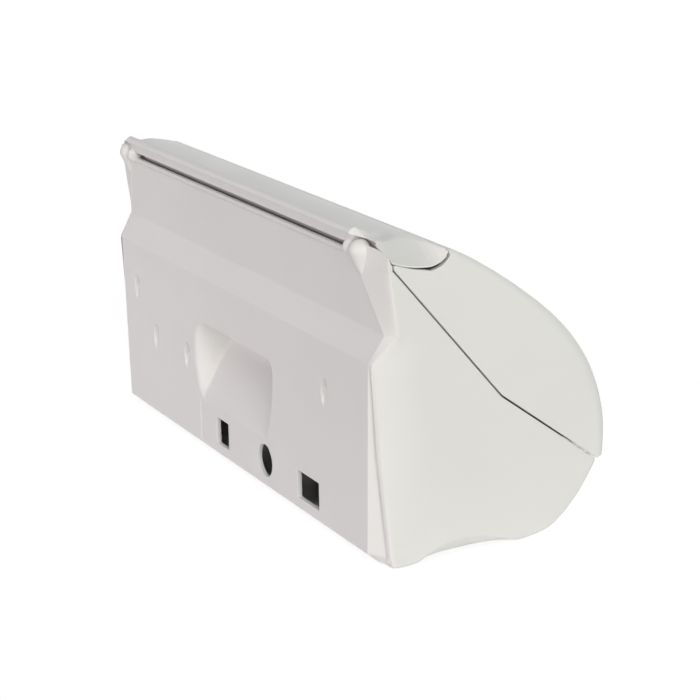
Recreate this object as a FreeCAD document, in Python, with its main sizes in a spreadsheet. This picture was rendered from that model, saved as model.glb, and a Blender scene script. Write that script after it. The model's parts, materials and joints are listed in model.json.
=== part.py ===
"""Cling film dispenser for 300 mm catering rolls, as a parametric FreeCAD document.

Frame: +Z up, X along the roll, the front faces -Y and the rear panel faces +Y. The origin is on the surface it
stands on, under the middle of its bounding box. A place in the side profile is given as a depth, measured
forwards from the rear plane, and a height.
"""
import FreeCAD
import Part

import math
import os

import Sketcher

SIZES = {
    # the whole
    "width": 375.0,
    "total_depth": 146.0,
    "wall": 2.6,
    "cheek_wall": 2.6,
    "seam_gap": 0.6,
    "fit_gap": 0.3,
    "run_gap": 0.05,
    # side profile: the seam between base and lid
    "seam_rear_depth": 13.7,
    "seam_rear_height": 167.7,
    "seam_kink_depth": 78.1,
    "seam_kink_height": 87.8,
    "seam_front_depth": 140.5,
    "seam_front_height": 39.1,
    # side profile: bottom and front of the base
    "floor_height": 1.0,
    "nose_start_depth": 92.0,
    "nose_radius": 42.0,
    "nose_end_depth": 125.54,
    "nose_end_height": 17.72,
    "tray_rear_depth": 11.8,
    # rear panel
    "sill_height": 7.0,
    "sill_depth": 6.6,
    "panel_low_half": 172.1,
    "panel_high_half": 176.0,
    "panel_high": 116.0,
    "waist_height": 131.2,
    "waist_depth": 11.1,
    "waist_half": 178.8,
    "wedge_low_depth": 6.1,
    "wedge_sill_depth": 8.8,
    "lip_height": 173.9,
    "lip_depth": 6.0,
    "lip_half": 156.6,
    "lip_notch_half": 150.4,
    "panel_foot_reach": 18.0,
    "panel_foot_thick": 2.6,
    "panel_skim": 0.1,
    # finger scoop in the rear panel
    "scoop_left": -58.0,
    "scoop_right": 50.0,
    "scoop_top": 87.5,
    "scoop_bottom": 35.0,
    "scoop_depth": 21.0,
    "scoop_round": 7.0,
    # rear openings and wall-screw pockets
    "square_port": 17.0,
    "square_port_x": 19.6,
    "square_port_z": 21.2,
    "round_port_radius": 10.0,
    "round_port_x": -42.1,
    "round_port_z": 22.1,
    "wide_port": 27.1,
    "wide_port_tall": 16.7,
    "wide_port_x": -100.25,
    "wide_port_z": 21.45,
    "pocket_width": 6.5,
    "pocket_tall": 14.0,
    "pocket_deep": 1.4,
    "wall_screw_radius": 2.6,
    "high_pocket_left": -125.4,
    "high_pocket_right": 148.1,
    "high_pocket_z": 88.0,
    "low_pocket_left": 67.3,
    "low_pocket_right": 118.3,
    "low_pocket_z": 60.0,
    # hinge
    "hinge_depth": 6.3,
    "hinge_height": 175.5,
    "ear_inner": 157.3,
    "ear_outer": 169.5,
    "ear_radius": 6.0,
    "ear_post_front": 12.0,
    "ear_post_rear": 3.6,
    "ear_post_top": 170.4,
    "ear_clear_outer": 176.0,
    "blend_gap": 0.5,
    "knuckle_inner": 150.8,
    "knuckle_radius": 4.6,
    "pin_radius": 2.0,
    "pin_inner": 151.6,
    "pin_outer": 166.0,
    # end cheeks
    "scallop_radius": 93.5,
    "scallop_out": 77.2,
    "scallop_depth": 57.0,
    "scallop_below": 41.6,
    "scallop_block_inner": 177.4,
    "scallop_block_rear": 20.0,
    "scallop_block_front": 94.0,
    "scallop_block_top": 14.5,
    "cheek_foot_inner": 166.0,
    "cheek_foot_depth": 30.5,
    "cheek_foot_half": 8.0,
    "cheek_foot_thick": 3.0,
    # lid cover
    "lid_rear_depth": 46.9,
    "lid_rear_height": 175.7,
    "lid_shoulder_depth": 113.69,
    "lid_shoulder_height": 127.84,
    "lid_brow_out": 3.33,
    "lid_brow_height": 74.59,
    "lid_tip_out": 4.4,
    "lid_tip_height": 40.34,
    "lid_back_radius": 278.35,
    "lid_shoulder_radius": 108.42,
    "lid_brow_radius": 87.26,
    "lid_lug_inner": 170.0,
    # top bar: two arcs that meet in a lens
    "bar_rear_depth": 4.8,
    "bar_rear_height": 182.4,
    "bar_front_depth": 46.3,
    "bar_front_height": 174.2,
    "bar_low_depth": 12.6,
    "bar_low_height": 171.9,
    "bar_top_radius": 44.8,
    "bar_low_radius": 27.1,
    "bar_lip_height": 187.1,
    "bar_lip_depth": 6.4,
    "bar_bead_height": 184.2,
    "bar_bead_depth": 2.6,
    "bar_strip_height": 177.1,
    "bar_strip_depth": 5.0,
    "bar_lip_half": 158.3,
    "bar_hollow_start": 16.5,
    "bar_hollow_end": 41.5,
    "bar_boss_depth": 29.0,
    "bar_boss_radius": 3.6,
    # roll and its hubs
    "roll_depth": 62.0,
    "roll_height": 58.0,
    "flange_inner": 150.6,
    "flange_thick": 3.0,
    "flange_radius": 27.0,
    "core_plug_radius": 18.5,
    "core_plug_tip_radius": 16.0,
    "core_plug_length": 7.0,
    "axle_radius": 5.0,
    "axle_nose": 4.0,
    "axle_groove_radius": 3.6,
    "clip_thick": 1.0,
    "clip_radius": 7.5,
    "hub_gap": 0.5,
    "washer_thick": 1.2,
    "washer_reach": 3.4,
    "sprung_bracket_inner": 165.8,
    "bracket_thick": 4.0,
    "bracket_half": 14.0,
    "bracket_foot_thick": 3.0,
    "axle_head_thick": 2.4,
    "axle_head_radius": 7.5,
    "spring_radius": 6.6,
    "spring_wire": 0.5,
    "spring_turns": 2.5,
    # film bed at the front
    "bed_behind_seam": 11.0,
    "bed_above_seam": 8.9,
    "bed_slope": 38.0,
    "bed_front": 11.2,
    "bed_rear": 13.0,
    "bed_thick": 9.0,
    "groove_half": 1.9,
    "groove_deep": 6.0,
    "grip_place": 7.0,
    "grip_half": 2.0,
    "grip_inlay": 0.7,
    "grip_proud": 0.3,
    "grip_half_length": 152.0,
    # guide roller
    "guide_place": 20.6,
    "guide_drop": 5.8,
    "guide_radius": 6.0,
    "guide_half": 150.2,
    "guide_journal": 3.0,
    "guide_end_gap": 0.8,
    "guide_bracket_thick": 4.0,
    # blade and its carrier in the lid
    "carrier_low": 1.2,
    "carrier_high": 14.0,
    "carrier_reach": 12.0,
    "carrier_wall": 2.6,
    "lug_tall": 7.0,
    "lug_screw_place": 7.5,
    "blade_thick": 0.5,
    "blade_half": 154.0,
    "blade_tip": -3.4,
    "blade_top": 12.0,
    "tooth_pitch": 5.5,
    "tooth_deep": 2.4,
    "clamp_thick": 2.8,
    "clamp_low": 2.4,
    "clamp_half": 158.0,
    "pad_half": 2.2,
    "pad_thick": 0.6,
    # feet and screws
    "foot_radius": 7.0,
    "foot_stem_radius": 2.4,
    "foot_x": 160.0,
    "foot_rear_depth": 28.0,
    "foot_front_depth": 89.0,
    "screw_radius": 1.5,
    "screw_head_radius": 2.8,
    "screw_head": 1.8,
}

COUNTS = {
    "bed_ribs": 3,
    "teeth": 56,
}

doc = FreeCAD.newDocument("cling_film_dispenser")
sheet = doc.addObject("Spreadsheet::Sheet", "Dims")
sub_parts = []


class Size:
    """A length worked out from the sheet: its number and the expression that yields it."""

    def __init__(self, number, text):
        self.number = number
        self.text = text

    @staticmethod
    def of(value):
        return value if isinstance(value, Size) else Size(float(value), repr(float(value)))

    def joined(self, sign, other, number):
        return Size(number, f"({self.text} {sign} {Size.of(other).text})")

    def __add__(self, other):
        return self.joined("+", other, self.number + Size.of(other).number)

    def __radd__(self, other):
        return Size.of(other) + self

    def __sub__(self, other):
        return self.joined("-", other, self.number - Size.of(other).number)

    def __rsub__(self, other):
        return Size.of(other) - self

    def __mul__(self, other):
        return self.joined("*", other, self.number * Size.of(other).number)

    def __rmul__(self, other):
        return self * other

    def __truediv__(self, other):
        return self.joined("/", other, self.number / Size.of(other).number)

    def __neg__(self):
        return self * -1

    def root(self):
        return Size(math.sqrt(self.number), f"sqrt({self.text})")


def fill_sheet():
    """Writes every driving size and count to the sheet and gives its cell an alias."""
    for row, (name, value) in enumerate({**SIZES, **COUNTS}.items(), start=1):
        sheet.set(f"A{row}", name.replace("_", " "))
        sheet.set(f"B{row}", str(value))
        sheet.setAlias(f"B{row}", name)
    doc.recompute()


def q(name):
    """The named size of the sheet."""
    return Size({**SIZES, **COUNTS}[name], f"Dims.{name}")


def bind(thing, path, size):
    """Sets a property of an object from an expression."""
    thing.setExpression(path, Size.of(size).text)


def at(depth, height):
    """A point of the side profile: its Y from a depth, and its Z."""
    return (half_depth - depth, Size.of(height))


def exact_centre(first, last, radius, left):
    """The same centre as arc_centre gives, worked out in the sheet's own sizes."""
    (ax, ay), (bx, by) = first, last
    chord = ((bx - ax) * (bx - ax) + (by - ay) * (by - ay)).root()
    rise = (radius * radius - chord * chord / 4).root() * (1 if left else -1)
    return (ax + bx) / 2 - rise * (by - ay) / chord, (ay + by) / 2 + rise * (bx - ax) / chord


def inset(corner, centre, radius, wall):
    """A corner moved towards an arc's centre by the wall."""
    share = wall / radius
    return tuple(c + (m - c) * share for c, m in zip(corner, centre))


def arc_centre(first, last, radius, left):
    """The centre of the arc from first to last, on the left or right of the way between them."""
    (ax, ay), (bx, by) = first, last
    chord = math.hypot(bx - ax, by - ay)
    rise = math.sqrt(radius * radius - chord * chord / 4)
    side = 1 if left else -1
    return (
        (ax + bx) / 2 - side * rise * (by - ay) / chord,
        (ay + by) / 2 + side * rise * (bx - ax) / chord,
    )


def add_loop(sketch, loop):
    """Adds a closed outline, with both coordinates of each corner bound to the sheet.

    Each corner is (u, v) and is joined to the next by a straight line, or (u, v, radius, left) and joined by an
    arc whose centre lies on the left or right of the way.
    """
    corners = [(Size.of(c[0]), Size.of(c[1])) for c in loop]
    starts = []
    ends = []
    for index, corner in enumerate(loop):
        first = tuple(size.number for size in corners[index])
        last = tuple(size.number for size in corners[(index + 1) % len(loop)])
        if len(corner) == 2:
            line = Part.LineSegment(FreeCAD.Vector(*first, 0), FreeCAD.Vector(*last, 0))
            edge = sketch.addGeometry(line, False)
            order = (1, 2)
        else:
            radius = Size.of(corner[2])
            left = corner[3]
            centre = arc_centre(first, last, radius.number, left)
            begin, finish = (first, last) if left else (last, first)
            angles = [math.atan2(p[1] - centre[1], p[0] - centre[0]) for p in (begin, finish)]
            if angles[1] < angles[0]:
                angles[1] += 2 * math.pi
            circle = Part.Circle(FreeCAD.Vector(*centre, 0), FreeCAD.Vector(0, 0, 1), radius.number)
            edge = sketch.addGeometry(Part.ArcOfCircle(circle, *angles), False)
            order = (1, 2) if left else (2, 1)
            number = sketch.addConstraint(Sketcher.Constraint("Radius", edge, radius.number))
            bind(sketch, f"Constraints[{number}]", radius)
        starts.append((edge, order[0]))
        ends.append((edge, order[1]))
    for index, (edge, point) in enumerate(starts):
        sketch.addConstraint(Sketcher.Constraint("Coincident", *ends[index - 1], edge, point))
        for kind, size in zip(("DistanceX", "DistanceY"), corners[index]):
            place = Sketcher.Constraint(kind, -1, 1, edge, point, size.number)
            bind(sketch, f"Constraints[{sketch.addConstraint(place)}]", size)


def add_circle(sketch, u, v, radius):
    """Adds a circle with its centre and radius bound to the sheet."""
    u, v, radius = Size.of(u), Size.of(v), Size.of(radius)
    circle = Part.Circle(FreeCAD.Vector(u.number, v.number, 0), FreeCAD.Vector(0, 0, 1), radius.number)
    edge = sketch.addGeometry(circle, False)
    number = sketch.addConstraint(Sketcher.Constraint("Radius", edge, radius.number))
    bind(sketch, f"Constraints[{number}]", radius)
    for kind, size in (("DistanceX", u), ("DistanceY", v)):
        place = Sketcher.Constraint(kind, -1, 1, edge, 3, size.number)
        bind(sketch, f"Constraints[{sketch.addConstraint(place)}]", size)


def sketch_on(body, plane, offset, outlines):
    """A sketch on one of the body's origin planes, moved along the plane's normal."""
    sketch = body.newObject("Sketcher::SketchObject", f"{body.Name}_outline")
    sketch.AttachmentSupport = [(next(f for f in body.Origin.OriginFeatures if f.Role == plane), "")]
    sketch.MapMode = "FlatFace"
    bind(sketch, "AttachmentOffset.Base.z", offset)
    for outline in outlines:
        if outline[0] == "circle":
            add_circle(sketch, *outline[1:])
        else:
            add_loop(sketch, outline)
    return sketch


def new_body(name):
    return doc.addObject("PartDesign::Body", name)


def pad(body, plane, low, high, *outlines):
    """Adds the outlines' solid between two places along the plane's normal."""
    sketch = sketch_on(body, plane, low, outlines)
    feature = body.newObject("PartDesign::Pad", f"{body.Name}_pad")
    feature.Profile = sketch
    bind(feature, "Length", Size.of(high) - low)
    return feature


def pocket(body, plane, low, high, *outlines):
    """Cuts the outlines' solid out of the body between two places along the plane's normal."""
    doc.recompute()
    before = body.Shape.Volume
    sketch = sketch_on(body, plane, high, outlines)
    feature = body.newObject("PartDesign::Pocket", f"{body.Name}_pocket")
    feature.Profile = sketch
    bind(feature, "Length", Size.of(high) - low)
    doc.recompute()
    if not body.Shape.Volume < before - 0.01:
        raise RuntimeError(f"{feature.Name} cuts nothing")
    return feature


def loft(body, sections):
    """Adds a straight-ruled solid through outlines at rising heights, each (height, outline)."""
    sketches = [sketch_on(body, "XY_Plane", height, [outline]) for height, outline in sections]
    feature = body.newObject("PartDesign::AdditiveLoft", f"{body.Name}_loft")
    feature.Profile = sketches[0]
    feature.Sections = sketches[1:]
    feature.Ruled = True
    return feature


def turned(body, outline):
    """Adds a solid of revolution about the body's X axis, from an outline of (x, radius) corners."""
    sketch = sketch_on(body, "XZ_Plane", 0, [outline])
    feature = body.newObject("PartDesign::Revolution", f"{body.Name}_turned")
    feature.Profile = sketch
    feature.ReferenceAxis = (sketch, ["H_Axis"])
    feature.Angle = 360
    return feature


def rod(name, radius, low, high, depth, height):
    """A round bar along X between two places."""
    bar = doc.addObject("Part::Cylinder", name)
    bind(bar, "Radius", radius)
    bind(bar, "Height", Size.of(high) - low)
    bar.Placement.Rotation = FreeCAD.Rotation(FreeCAD.Vector(0, 1, 0), 90)
    bind(bar, "Placement.Base.x", low)
    bind(bar, "Placement.Base.y", half_depth - depth)
    bind(bar, "Placement.Base.z", height)
    return bar


def fused(name, *shapes):
    """One solid made of several."""
    joined = doc.addObject("Part::MultiFuse", name)
    joined.Shapes = list(shapes)
    joined.Refine = True
    return joined


def grouped(name, shapes):
    """Several separate solids held in one sub-part."""
    group = doc.addObject("Part::Compound", name)
    group.Links = list(shapes)
    return group


def cut(name, base, *tools):
    """The base with the tools taken away, one after another."""
    result = base
    for index, tool in enumerate(tools):
        step = doc.addObject("Part::Cut", f"{name}_{index}" if index < len(tools) - 1 else name)
        step.Base = result
        step.Tool = tool
        step.Refine = True
        result = step
    return result


def keep(thing, name):
    """Marks an object as a sub-part with this name."""
    thing.Label = name
    sub_parts.append(thing)
    return thing


def on_bed(thing):
    """Stands an object made about the origin on the film bed: its Z is then square to the sloping bed."""
    thing.Placement.Rotation = FreeCAD.Rotation(FreeCAD.Vector(1, 0, 0), SIZES["bed_slope"])
    bind(thing, "Placement.Rotation.Angle", q("bed_slope"))
    bind(thing, "Placement.Base.y", half_depth - bed_depth)
    bind(thing, "Placement.Base.z", bed_height)
    return thing


def span(side, low, high):
    """A stretch of X on the right side (side 1), or its mirror image on the left (side -1)."""
    return (low, high) if side > 0 else (-high, -low)


def box_between(low_x, high_x, low_y, high_y):
    """A rectangle as an outline, from the places of its sides."""
    return [(low_x, low_y), (high_x, low_y), (high_x, high_y), (low_x, high_y)]


SIDES = (("right", 1), ("left", -1))

fill_sheet()
half_width = q("width") / 2
half_depth = q("total_depth") / 2
cheek_inner = half_width - q("cheek_wall")
floor_top = q("floor_height") + q("wall")
lid_tip_depth = q("seam_front_depth") + q("lid_tip_out")
lid_brow_depth = q("seam_front_depth") + q("lid_brow_out")
bed_depth = q("seam_front_depth") - q("bed_behind_seam")
bed_height = q("seam_front_height") + q("bed_above_seam")
guide_bracket_inner = q("guide_half") + q("guide_end_gap")
carrier_half = cheek_inner - q("fit_gap")
core_plug_tip = q("flange_inner") - q("core_plug_length")
flange_back = q("flange_inner") + q("flange_thick")
fixed_bracket_inner = flange_back + q("hub_gap")


def bed_place(x, along, up):
    """A place given in the bed's own directions, as a point of the whole."""
    slope = math.radians(SIZES["bed_slope"])
    forward, rise = math.cos(slope), math.sin(slope)
    return (
        Size.of(x),
        half_depth - bed_depth + Size.of(along) * forward - Size.of(up) * rise,
        bed_height + Size.of(along) * rise + Size.of(up) * forward,
    )


clamp_middle = (q("clamp_low") + q("blade_top")) / 2


def floor_seats():
    """Where screws stand on the floor: for each kind of foot, (x, y, the foot's thickness)."""
    roll = half_depth - q("roll_depth")
    cheek = half_depth - q("cheek_foot_depth")
    panel = half_depth - q("panel_foot_reach") + 4
    seats = {"left_hub_bracket": [], "right_hub_bracket": [], "cheek": [], "rear_panel": []}
    for name, side in SIDES:
        inner = fixed_bracket_inner if side > 0 else q("sprung_bracket_inner")
        for reach in (-q("bracket_half"), q("bracket_half")):
            x = (inner + q("bracket_thick") + 3.6) * side
            seats[f"{name}_hub_bracket"].append((x, roll + reach, q("bracket_foot_thick")))
        seats["cheek"].append(((q("cheek_foot_inner") + 6) * side, cheek, q("cheek_foot_thick")))
    for place in (-0.4, -0.15, 0.15, 0.4):
        seats["rear_panel"].append((q("width") * place, panel, q("panel_foot_thick")))
    return seats


def screw_holes(seats):
    """Outlines of the screws' holes, from places on the floor."""
    return [("circle", x, y, q("screw_radius") + q("run_gap")) for x, y, _ in seats]


def clamp_seats():
    """Places along X of the screws in the blade clamp."""
    return [q("clamp_half") * place for place in (-0.96, -0.48, 0.0, 0.48, 0.96)]


def lug_seats():
    """Places along X of the screws that hold the carrier up to the lid's lugs."""
    return [(carrier_half - 7) * side for _, side in SIDES]


def base_tray():
    """Floor and curved front in one wall, with ribs under the film bed and holes for the feet's stems."""
    body = new_body("base_tray")
    nose_inner = q("nose_radius") - q("wall")
    nose_centre = q("floor_height") + q("nose_radius")
    turn_depth = (q("nose_end_depth") - q("nose_start_depth")) / q("nose_radius")
    turn_height = (nose_centre - q("nose_end_height")) / q("nose_radius")
    rise = q("seam_front_height") - q("nose_end_height")
    wall = [
        at(q("tray_rear_depth"), q("floor_height")),
        (*at(q("nose_start_depth"), q("floor_height")), q("nose_radius"), False),
        at(q("nose_end_depth"), q("nose_end_height")),
        at(q("seam_front_depth"), q("seam_front_height")),
        at(q("seam_front_depth") - q("wall") * turn_depth, q("seam_front_height") + q("wall") * turn_height / 2),
        (*at(q("nose_start_depth") + nose_inner * turn_depth, nose_centre - nose_inner * turn_height),
         nose_inner, True),
        at(q("nose_start_depth"), floor_top),
        at(q("tray_rear_depth"), floor_top),
    ]
    pad(body, "YZ_Plane", -cheek_inner, cheek_inner, wall)
    rib = [
        at(q("nose_start_depth") + 14, q("floor_height") + q("wall") * 1.2),
        at(q("nose_end_depth") - q("wall") / 2, q("nose_end_height") + q("wall") / 2),
        at(q("seam_front_depth") - 7.1, q("seam_front_height") - rise * 0.36),
        bed_place(0, 1 - q("bed_front"), -q("bed_thick"))[1:],
        bed_place(0, q("bed_rear") - 1, -q("bed_thick"))[1:],
        at(bed_depth - 23.5, bed_height - 18),
        at(bed_depth - 25.5, q("floor_height") + q("wall") * 1.5),
    ]
    ribs = COUNTS["bed_ribs"]
    for index in range(ribs):
        middle = half_width * (2 * index - ribs + 1) / ribs * 0.72
        pad(body, "YZ_Plane", middle - q("wall") / 2, middle + q("wall") / 2, rib)
    for _, side in SIDES:
        corner = box_between(
            *span(side, q("scallop_block_inner"), half_width),
            half_depth - q("scallop_block_front"), half_depth - q("scallop_block_rear"),
        )
        pocket(body, "XY_Plane", 0, floor_top + 1, corner)
    for foot_x in (-q("foot_x"), q("foot_x")):
        for depth in (q("foot_rear_depth"), q("foot_front_depth")):
            stem = ("circle", foot_x, half_depth - depth, q("foot_stem_radius") + q("run_gap"))
            pocket(body, "XY_Plane", 0, floor_top + 1, stem)
    holes = screw_holes(sum(floor_seats().values(), []))
    pocket(body, "XY_Plane", 0, floor_top + 1, *holes)
    return keep(body, "base_tray")


def wall_band(half, wedge_half, depth, wedge_depth):
    """Plan of a rear wall: straight in the middle, turned forwards to a wedge at each end."""
    thick = q("wall")
    outer = [
        (-wedge_half, half_depth - wedge_depth),
        (-half, half_depth - depth),
        (half, half_depth - depth),
        (wedge_half, half_depth - wedge_depth),
    ]
    inner = [(x, y - thick) for x, y in reversed(outer)]
    return outer + inner


def lower_panel():
    """Upright rear wall with its sill, wedge ends and sloping waist, and the flange that stands on the floor."""
    body = new_body("rear_panel_walls")
    edge = cheek_inner
    proud = -q("panel_skim")
    loft(body, [
        (q("floor_height"), wall_band(q("panel_low_half"), edge, q("sill_depth"), q("wedge_sill_depth"))),
        (q("sill_height"), wall_band(q("panel_low_half"), edge, proud, q("wedge_low_depth"))),
        (q("panel_high"), wall_band(q("panel_high_half"), edge, proud, q("fit_gap") / 2)),
        (q("waist_height"), wall_band(q("waist_half"), edge, q("waist_depth"), q("waist_depth") + 0.2)),
    ])
    foot = box_between(
        half_depth - q("panel_foot_reach"), half_depth - q("sill_depth") + 1,
        floor_top, floor_top + q("panel_foot_thick"),
    )
    pad(body, "YZ_Plane", -(cheek_inner - 1), cheek_inner - 1, foot)
    holes = screw_holes(floor_seats()["rear_panel"])
    pocket(body, "XY_Plane", floor_top - 1, floor_top + q("panel_foot_thick") + 1, *holes)
    return body


def upper_panel():
    """Leaning top of the rear wall, from the waist up to the lip under the top bar, notched at the hinges."""
    body = new_body("upper_panel")
    thick = q("wall")
    loft(body, [
        (height, box_between(-half, half, half_depth - depth - thick, half_depth - depth))
        for height, half, depth in (
            (q("waist_height"), q("waist_half"), q("waist_depth")),
            (q("lip_height"), q("lip_half"), q("lip_depth")),
        )
    ])
    for _, side in SIDES:
        notch = box_between(
            *span(side, q("lip_notch_half"), q("lip_half") + 4),
            q("hinge_height") - q("ear_radius") - q("fit_gap"), q("lip_height") + 1,
        )
        pocket(body, "XZ_Plane", -half_depth, -(half_depth - q("waist_depth") - thick), notch)
    return keep(body, "upper_panel")


def scoop_shell(hollow):
    """Tub behind the finger scoop, welded round the scoop's opening on the inside of the rear panel."""
    body = new_body("scoop_shell_walls")
    thick = q("wall")
    deep = half_depth - q("scoop_depth") - thick
    shell = [
        (deep, q("scoop_top") + thick),
        (half_depth - thick, q("scoop_top") + thick),
        (half_depth - thick, q("scoop_bottom") - thick),
        (deep, q("scoop_top") - q("scoop_depth") / 3),
    ]
    pad(body, "YZ_Plane", q("scoop_left") - thick, q("scoop_right") + thick, shell)
    return keep(cut("scoop_shell", body, hollow), "scoop_shell")


def scoop_hollow():
    """The space of the finger scoop: deepest under its square top, fading out at the bottom, top corners round."""
    body = new_body("scoop_hollow")
    deep = half_depth - q("scoop_depth")
    knee = q("scoop_top") - q("scoop_depth") / 3
    slope = (knee - q("scoop_bottom")) / q("scoop_depth")
    space = [
        (deep, q("scoop_top")),
        (half_depth + 1, q("scoop_top")),
        (half_depth + 1, q("scoop_bottom") - slope),
        (deep, knee),
    ]
    block = pad(body, "YZ_Plane", q("scoop_left"), q("scoop_right"), space)
    doc.recompute()
    top_corners = [
        f"Edge{index}" for index, edge in enumerate(block.Shape.Edges, start=1)
        if edge.BoundBox.XLength < 0.01 and edge.BoundBox.ZMin > SIZES["scoop_top"] - 0.01
    ]
    rounding = body.newObject("PartDesign::Fillet", "scoop_rounding")
    rounding.Base = (block, top_corners)
    bind(rounding, "Radius", q("scoop_round"))
    return body


def rear_panel(hollow):
    """The rear panel with the scoop, ports and screw pockets cut in it."""
    panel = lower_panel()
    cutters = new_body("rear_cutters")
    reach = (-half_depth - 1, -(half_depth - q("wall") - 1))
    half = q("square_port") / 2
    square = box_between(
        q("square_port_x") - half, q("square_port_x") + half,
        q("square_port_z") - half, q("square_port_z") + half,
    )
    wide = box_between(
        q("wide_port_x") - q("wide_port") / 2, q("wide_port_x") + q("wide_port") / 2,
        q("wide_port_z") - q("wide_port_tall") / 2, q("wide_port_z") + q("wide_port_tall") / 2,
    )
    round_port = ("circle", q("round_port_x"), q("round_port_z"), q("round_port_radius"))
    pockets = (
        (q("high_pocket_left"), q("high_pocket_z")),
        (q("high_pocket_right"), q("high_pocket_z")),
        (q("low_pocket_left"), q("low_pocket_z")),
        (q("low_pocket_right"), q("low_pocket_z")),
    )
    screws = [("circle", x, z, q("wall_screw_radius")) for x, z in pockets]
    pad(cutters, "XZ_Plane", *reach, square, round_port, wide, *screws)
    proud = box_between(-half_width, half_width, Size.of(0), q("waist_height"))
    pad(cutters, "XZ_Plane", -half_depth - 1, -half_depth, proud)
    slots = new_body("pocket_cutters")
    radius = q("pocket_width") / 2
    straight = q("pocket_tall") / 2 - radius
    outlines = [
        [
            (x + radius, z - straight),
            (x + radius, z + straight, radius + 0.001, True),
            (x - radius, z + straight),
            (x - radius, z - straight, radius + 0.001, True),
        ]
        for x, z in pockets
    ]
    pad(slots, "XZ_Plane", -half_depth - 1, -(half_depth - q("pocket_deep")), *outlines)
    return keep(cut("rear_panel", panel, hollow, cutters, slots), "rear_panel")


def cheek_outline():
    """Side profile of an end cheek, below the seam."""
    return [
        at(q("wedge_sill_depth"), q("floor_height")),
        (*at(q("nose_start_depth"), q("floor_height")), q("nose_radius"), False),
        at(q("nose_end_depth"), q("nose_end_height")),
        at(q("seam_front_depth"), q("seam_front_height")),
        at(q("seam_kink_depth"), q("seam_kink_height")),
        at(q("seam_rear_depth"), q("seam_rear_height")),
        at(q("seam_rear_depth") - 1, q("seam_rear_height") - 0.6),
        at(q("waist_depth") + 0.2, q("waist_height")),
        at(q("fit_gap") / 2, q("panel_high")),
        at(q("wedge_low_depth"), q("sill_height")),
    ]


def end_cheek(name, side):
    """End wall with the hinge ear inside its top rear corner and a finger scallop at the bottom."""
    body = new_body(f"{name}_walls")
    pad(body, "YZ_Plane", *span(side, cheek_inner, half_width), cheek_outline())
    block = box_between(
        half_depth - q("scallop_block_front"), half_depth - q("scallop_block_rear"),
        q("floor_height"), q("scallop_block_top"),
    )
    pad(body, "YZ_Plane", *span(side, q("scallop_block_inner"), cheek_inner), block)
    foot = box_between(
        half_depth - q("cheek_foot_depth") - q("cheek_foot_half"),
        half_depth - q("cheek_foot_depth") + q("cheek_foot_half"),
        floor_top, floor_top + q("cheek_foot_thick"),
    )
    pad(body, "YZ_Plane", *span(side, q("cheek_foot_inner"), cheek_inner), foot)
    hole = [screw_holes(floor_seats()["cheek"])[SIDES.index((name.split("_")[0], side))]]
    pocket(body, "XY_Plane", floor_top - 1, floor_top + q("cheek_foot_thick") + 1, *hole)
    front = half_depth - q("ear_post_front")
    low_in = q("waist_half") + q("blend_gap")
    lean = (q("ear_post_top") - q("waist_height")) / (q("lip_height") - q("waist_height"))
    top_in = low_in - (q("waist_half") - q("lip_half")) * lean
    low = [
        (low_in, half_depth - q("waist_depth")),
        (half_width - 4, half_depth - q("waist_depth") - 0.1),
        (half_width, half_depth - q("waist_depth") - 0.2),
        (half_width, half_depth - q("waist_depth") - q("wall") - 0.4),
        (half_width - 4, half_depth - q("waist_depth") - q("wall") - 0.4),
        (low_in, half_depth - q("waist_depth") - q("wall")),
    ]
    top = [
        (top_in, half_depth - q("ear_post_rear")),
        (q("ear_outer"), half_depth - q("ear_post_rear") - 1),
        (half_width, half_depth - q("seam_rear_depth") + 0.9),
        (half_width, half_depth - q("seam_rear_depth") - 1.5),
        (q("ear_outer"), front),
        (top_in, front),
    ]
    if side < 0:
        low = [(-x, y) for x, y in reversed(low)]
        top = [(-x, y) for x, y in reversed(top)]
    loft(body, [(q("waist_height"), low), (q("ear_post_top"), top)])
    above_seam = [
        at(q("seam_kink_depth"), q("seam_kink_height")),
        at(q("seam_kink_depth"), q("seam_rear_height") + 10),
        at(q("hinge_depth") + 2, q("seam_rear_height") + 10),
        at(q("seam_rear_depth") - 1.2, q("bar_low_height") - 0.9),
        at(q("seam_rear_depth"), q("seam_rear_height")),
    ]
    pocket(body, "YZ_Plane", *span(side, q("ear_outer"), half_width + 1), above_seam)
    hinge = at(q("hinge_depth"), q("hinge_height"))
    ear = ("circle", *hinge, q("ear_radius"))
    pad(body, "YZ_Plane", *span(side, q("ear_inner"), q("ear_outer")), ear)
    bore = ("circle", *hinge, q("pin_radius"))
    pocket(body, "YZ_Plane", *span(side, q("ear_inner") - 1, q("pin_outer")), bore)
    scallop = doc.addObject("Part::Sphere", f"{name}_scallop")
    bind(scallop, "Radius", q("scallop_radius"))
    bind(scallop, "Placement.Base.x", (half_width + q("scallop_out")) * side)
    bind(scallop, "Placement.Base.y", half_depth - q("scallop_depth"))
    bind(scallop, "Placement.Base.z", -q("scallop_below"))
    return keep(cut(name, body, scallop), name)


def hinge_pin(name, side):
    """Steel pin pressed in the ear, on which the top bar's knuckle turns."""
    low, high = span(side, q("pin_inner"), q("pin_outer"))
    return keep(rod(name, q("pin_radius"), low, high, q("hinge_depth"), q("hinge_height")), name)


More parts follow.
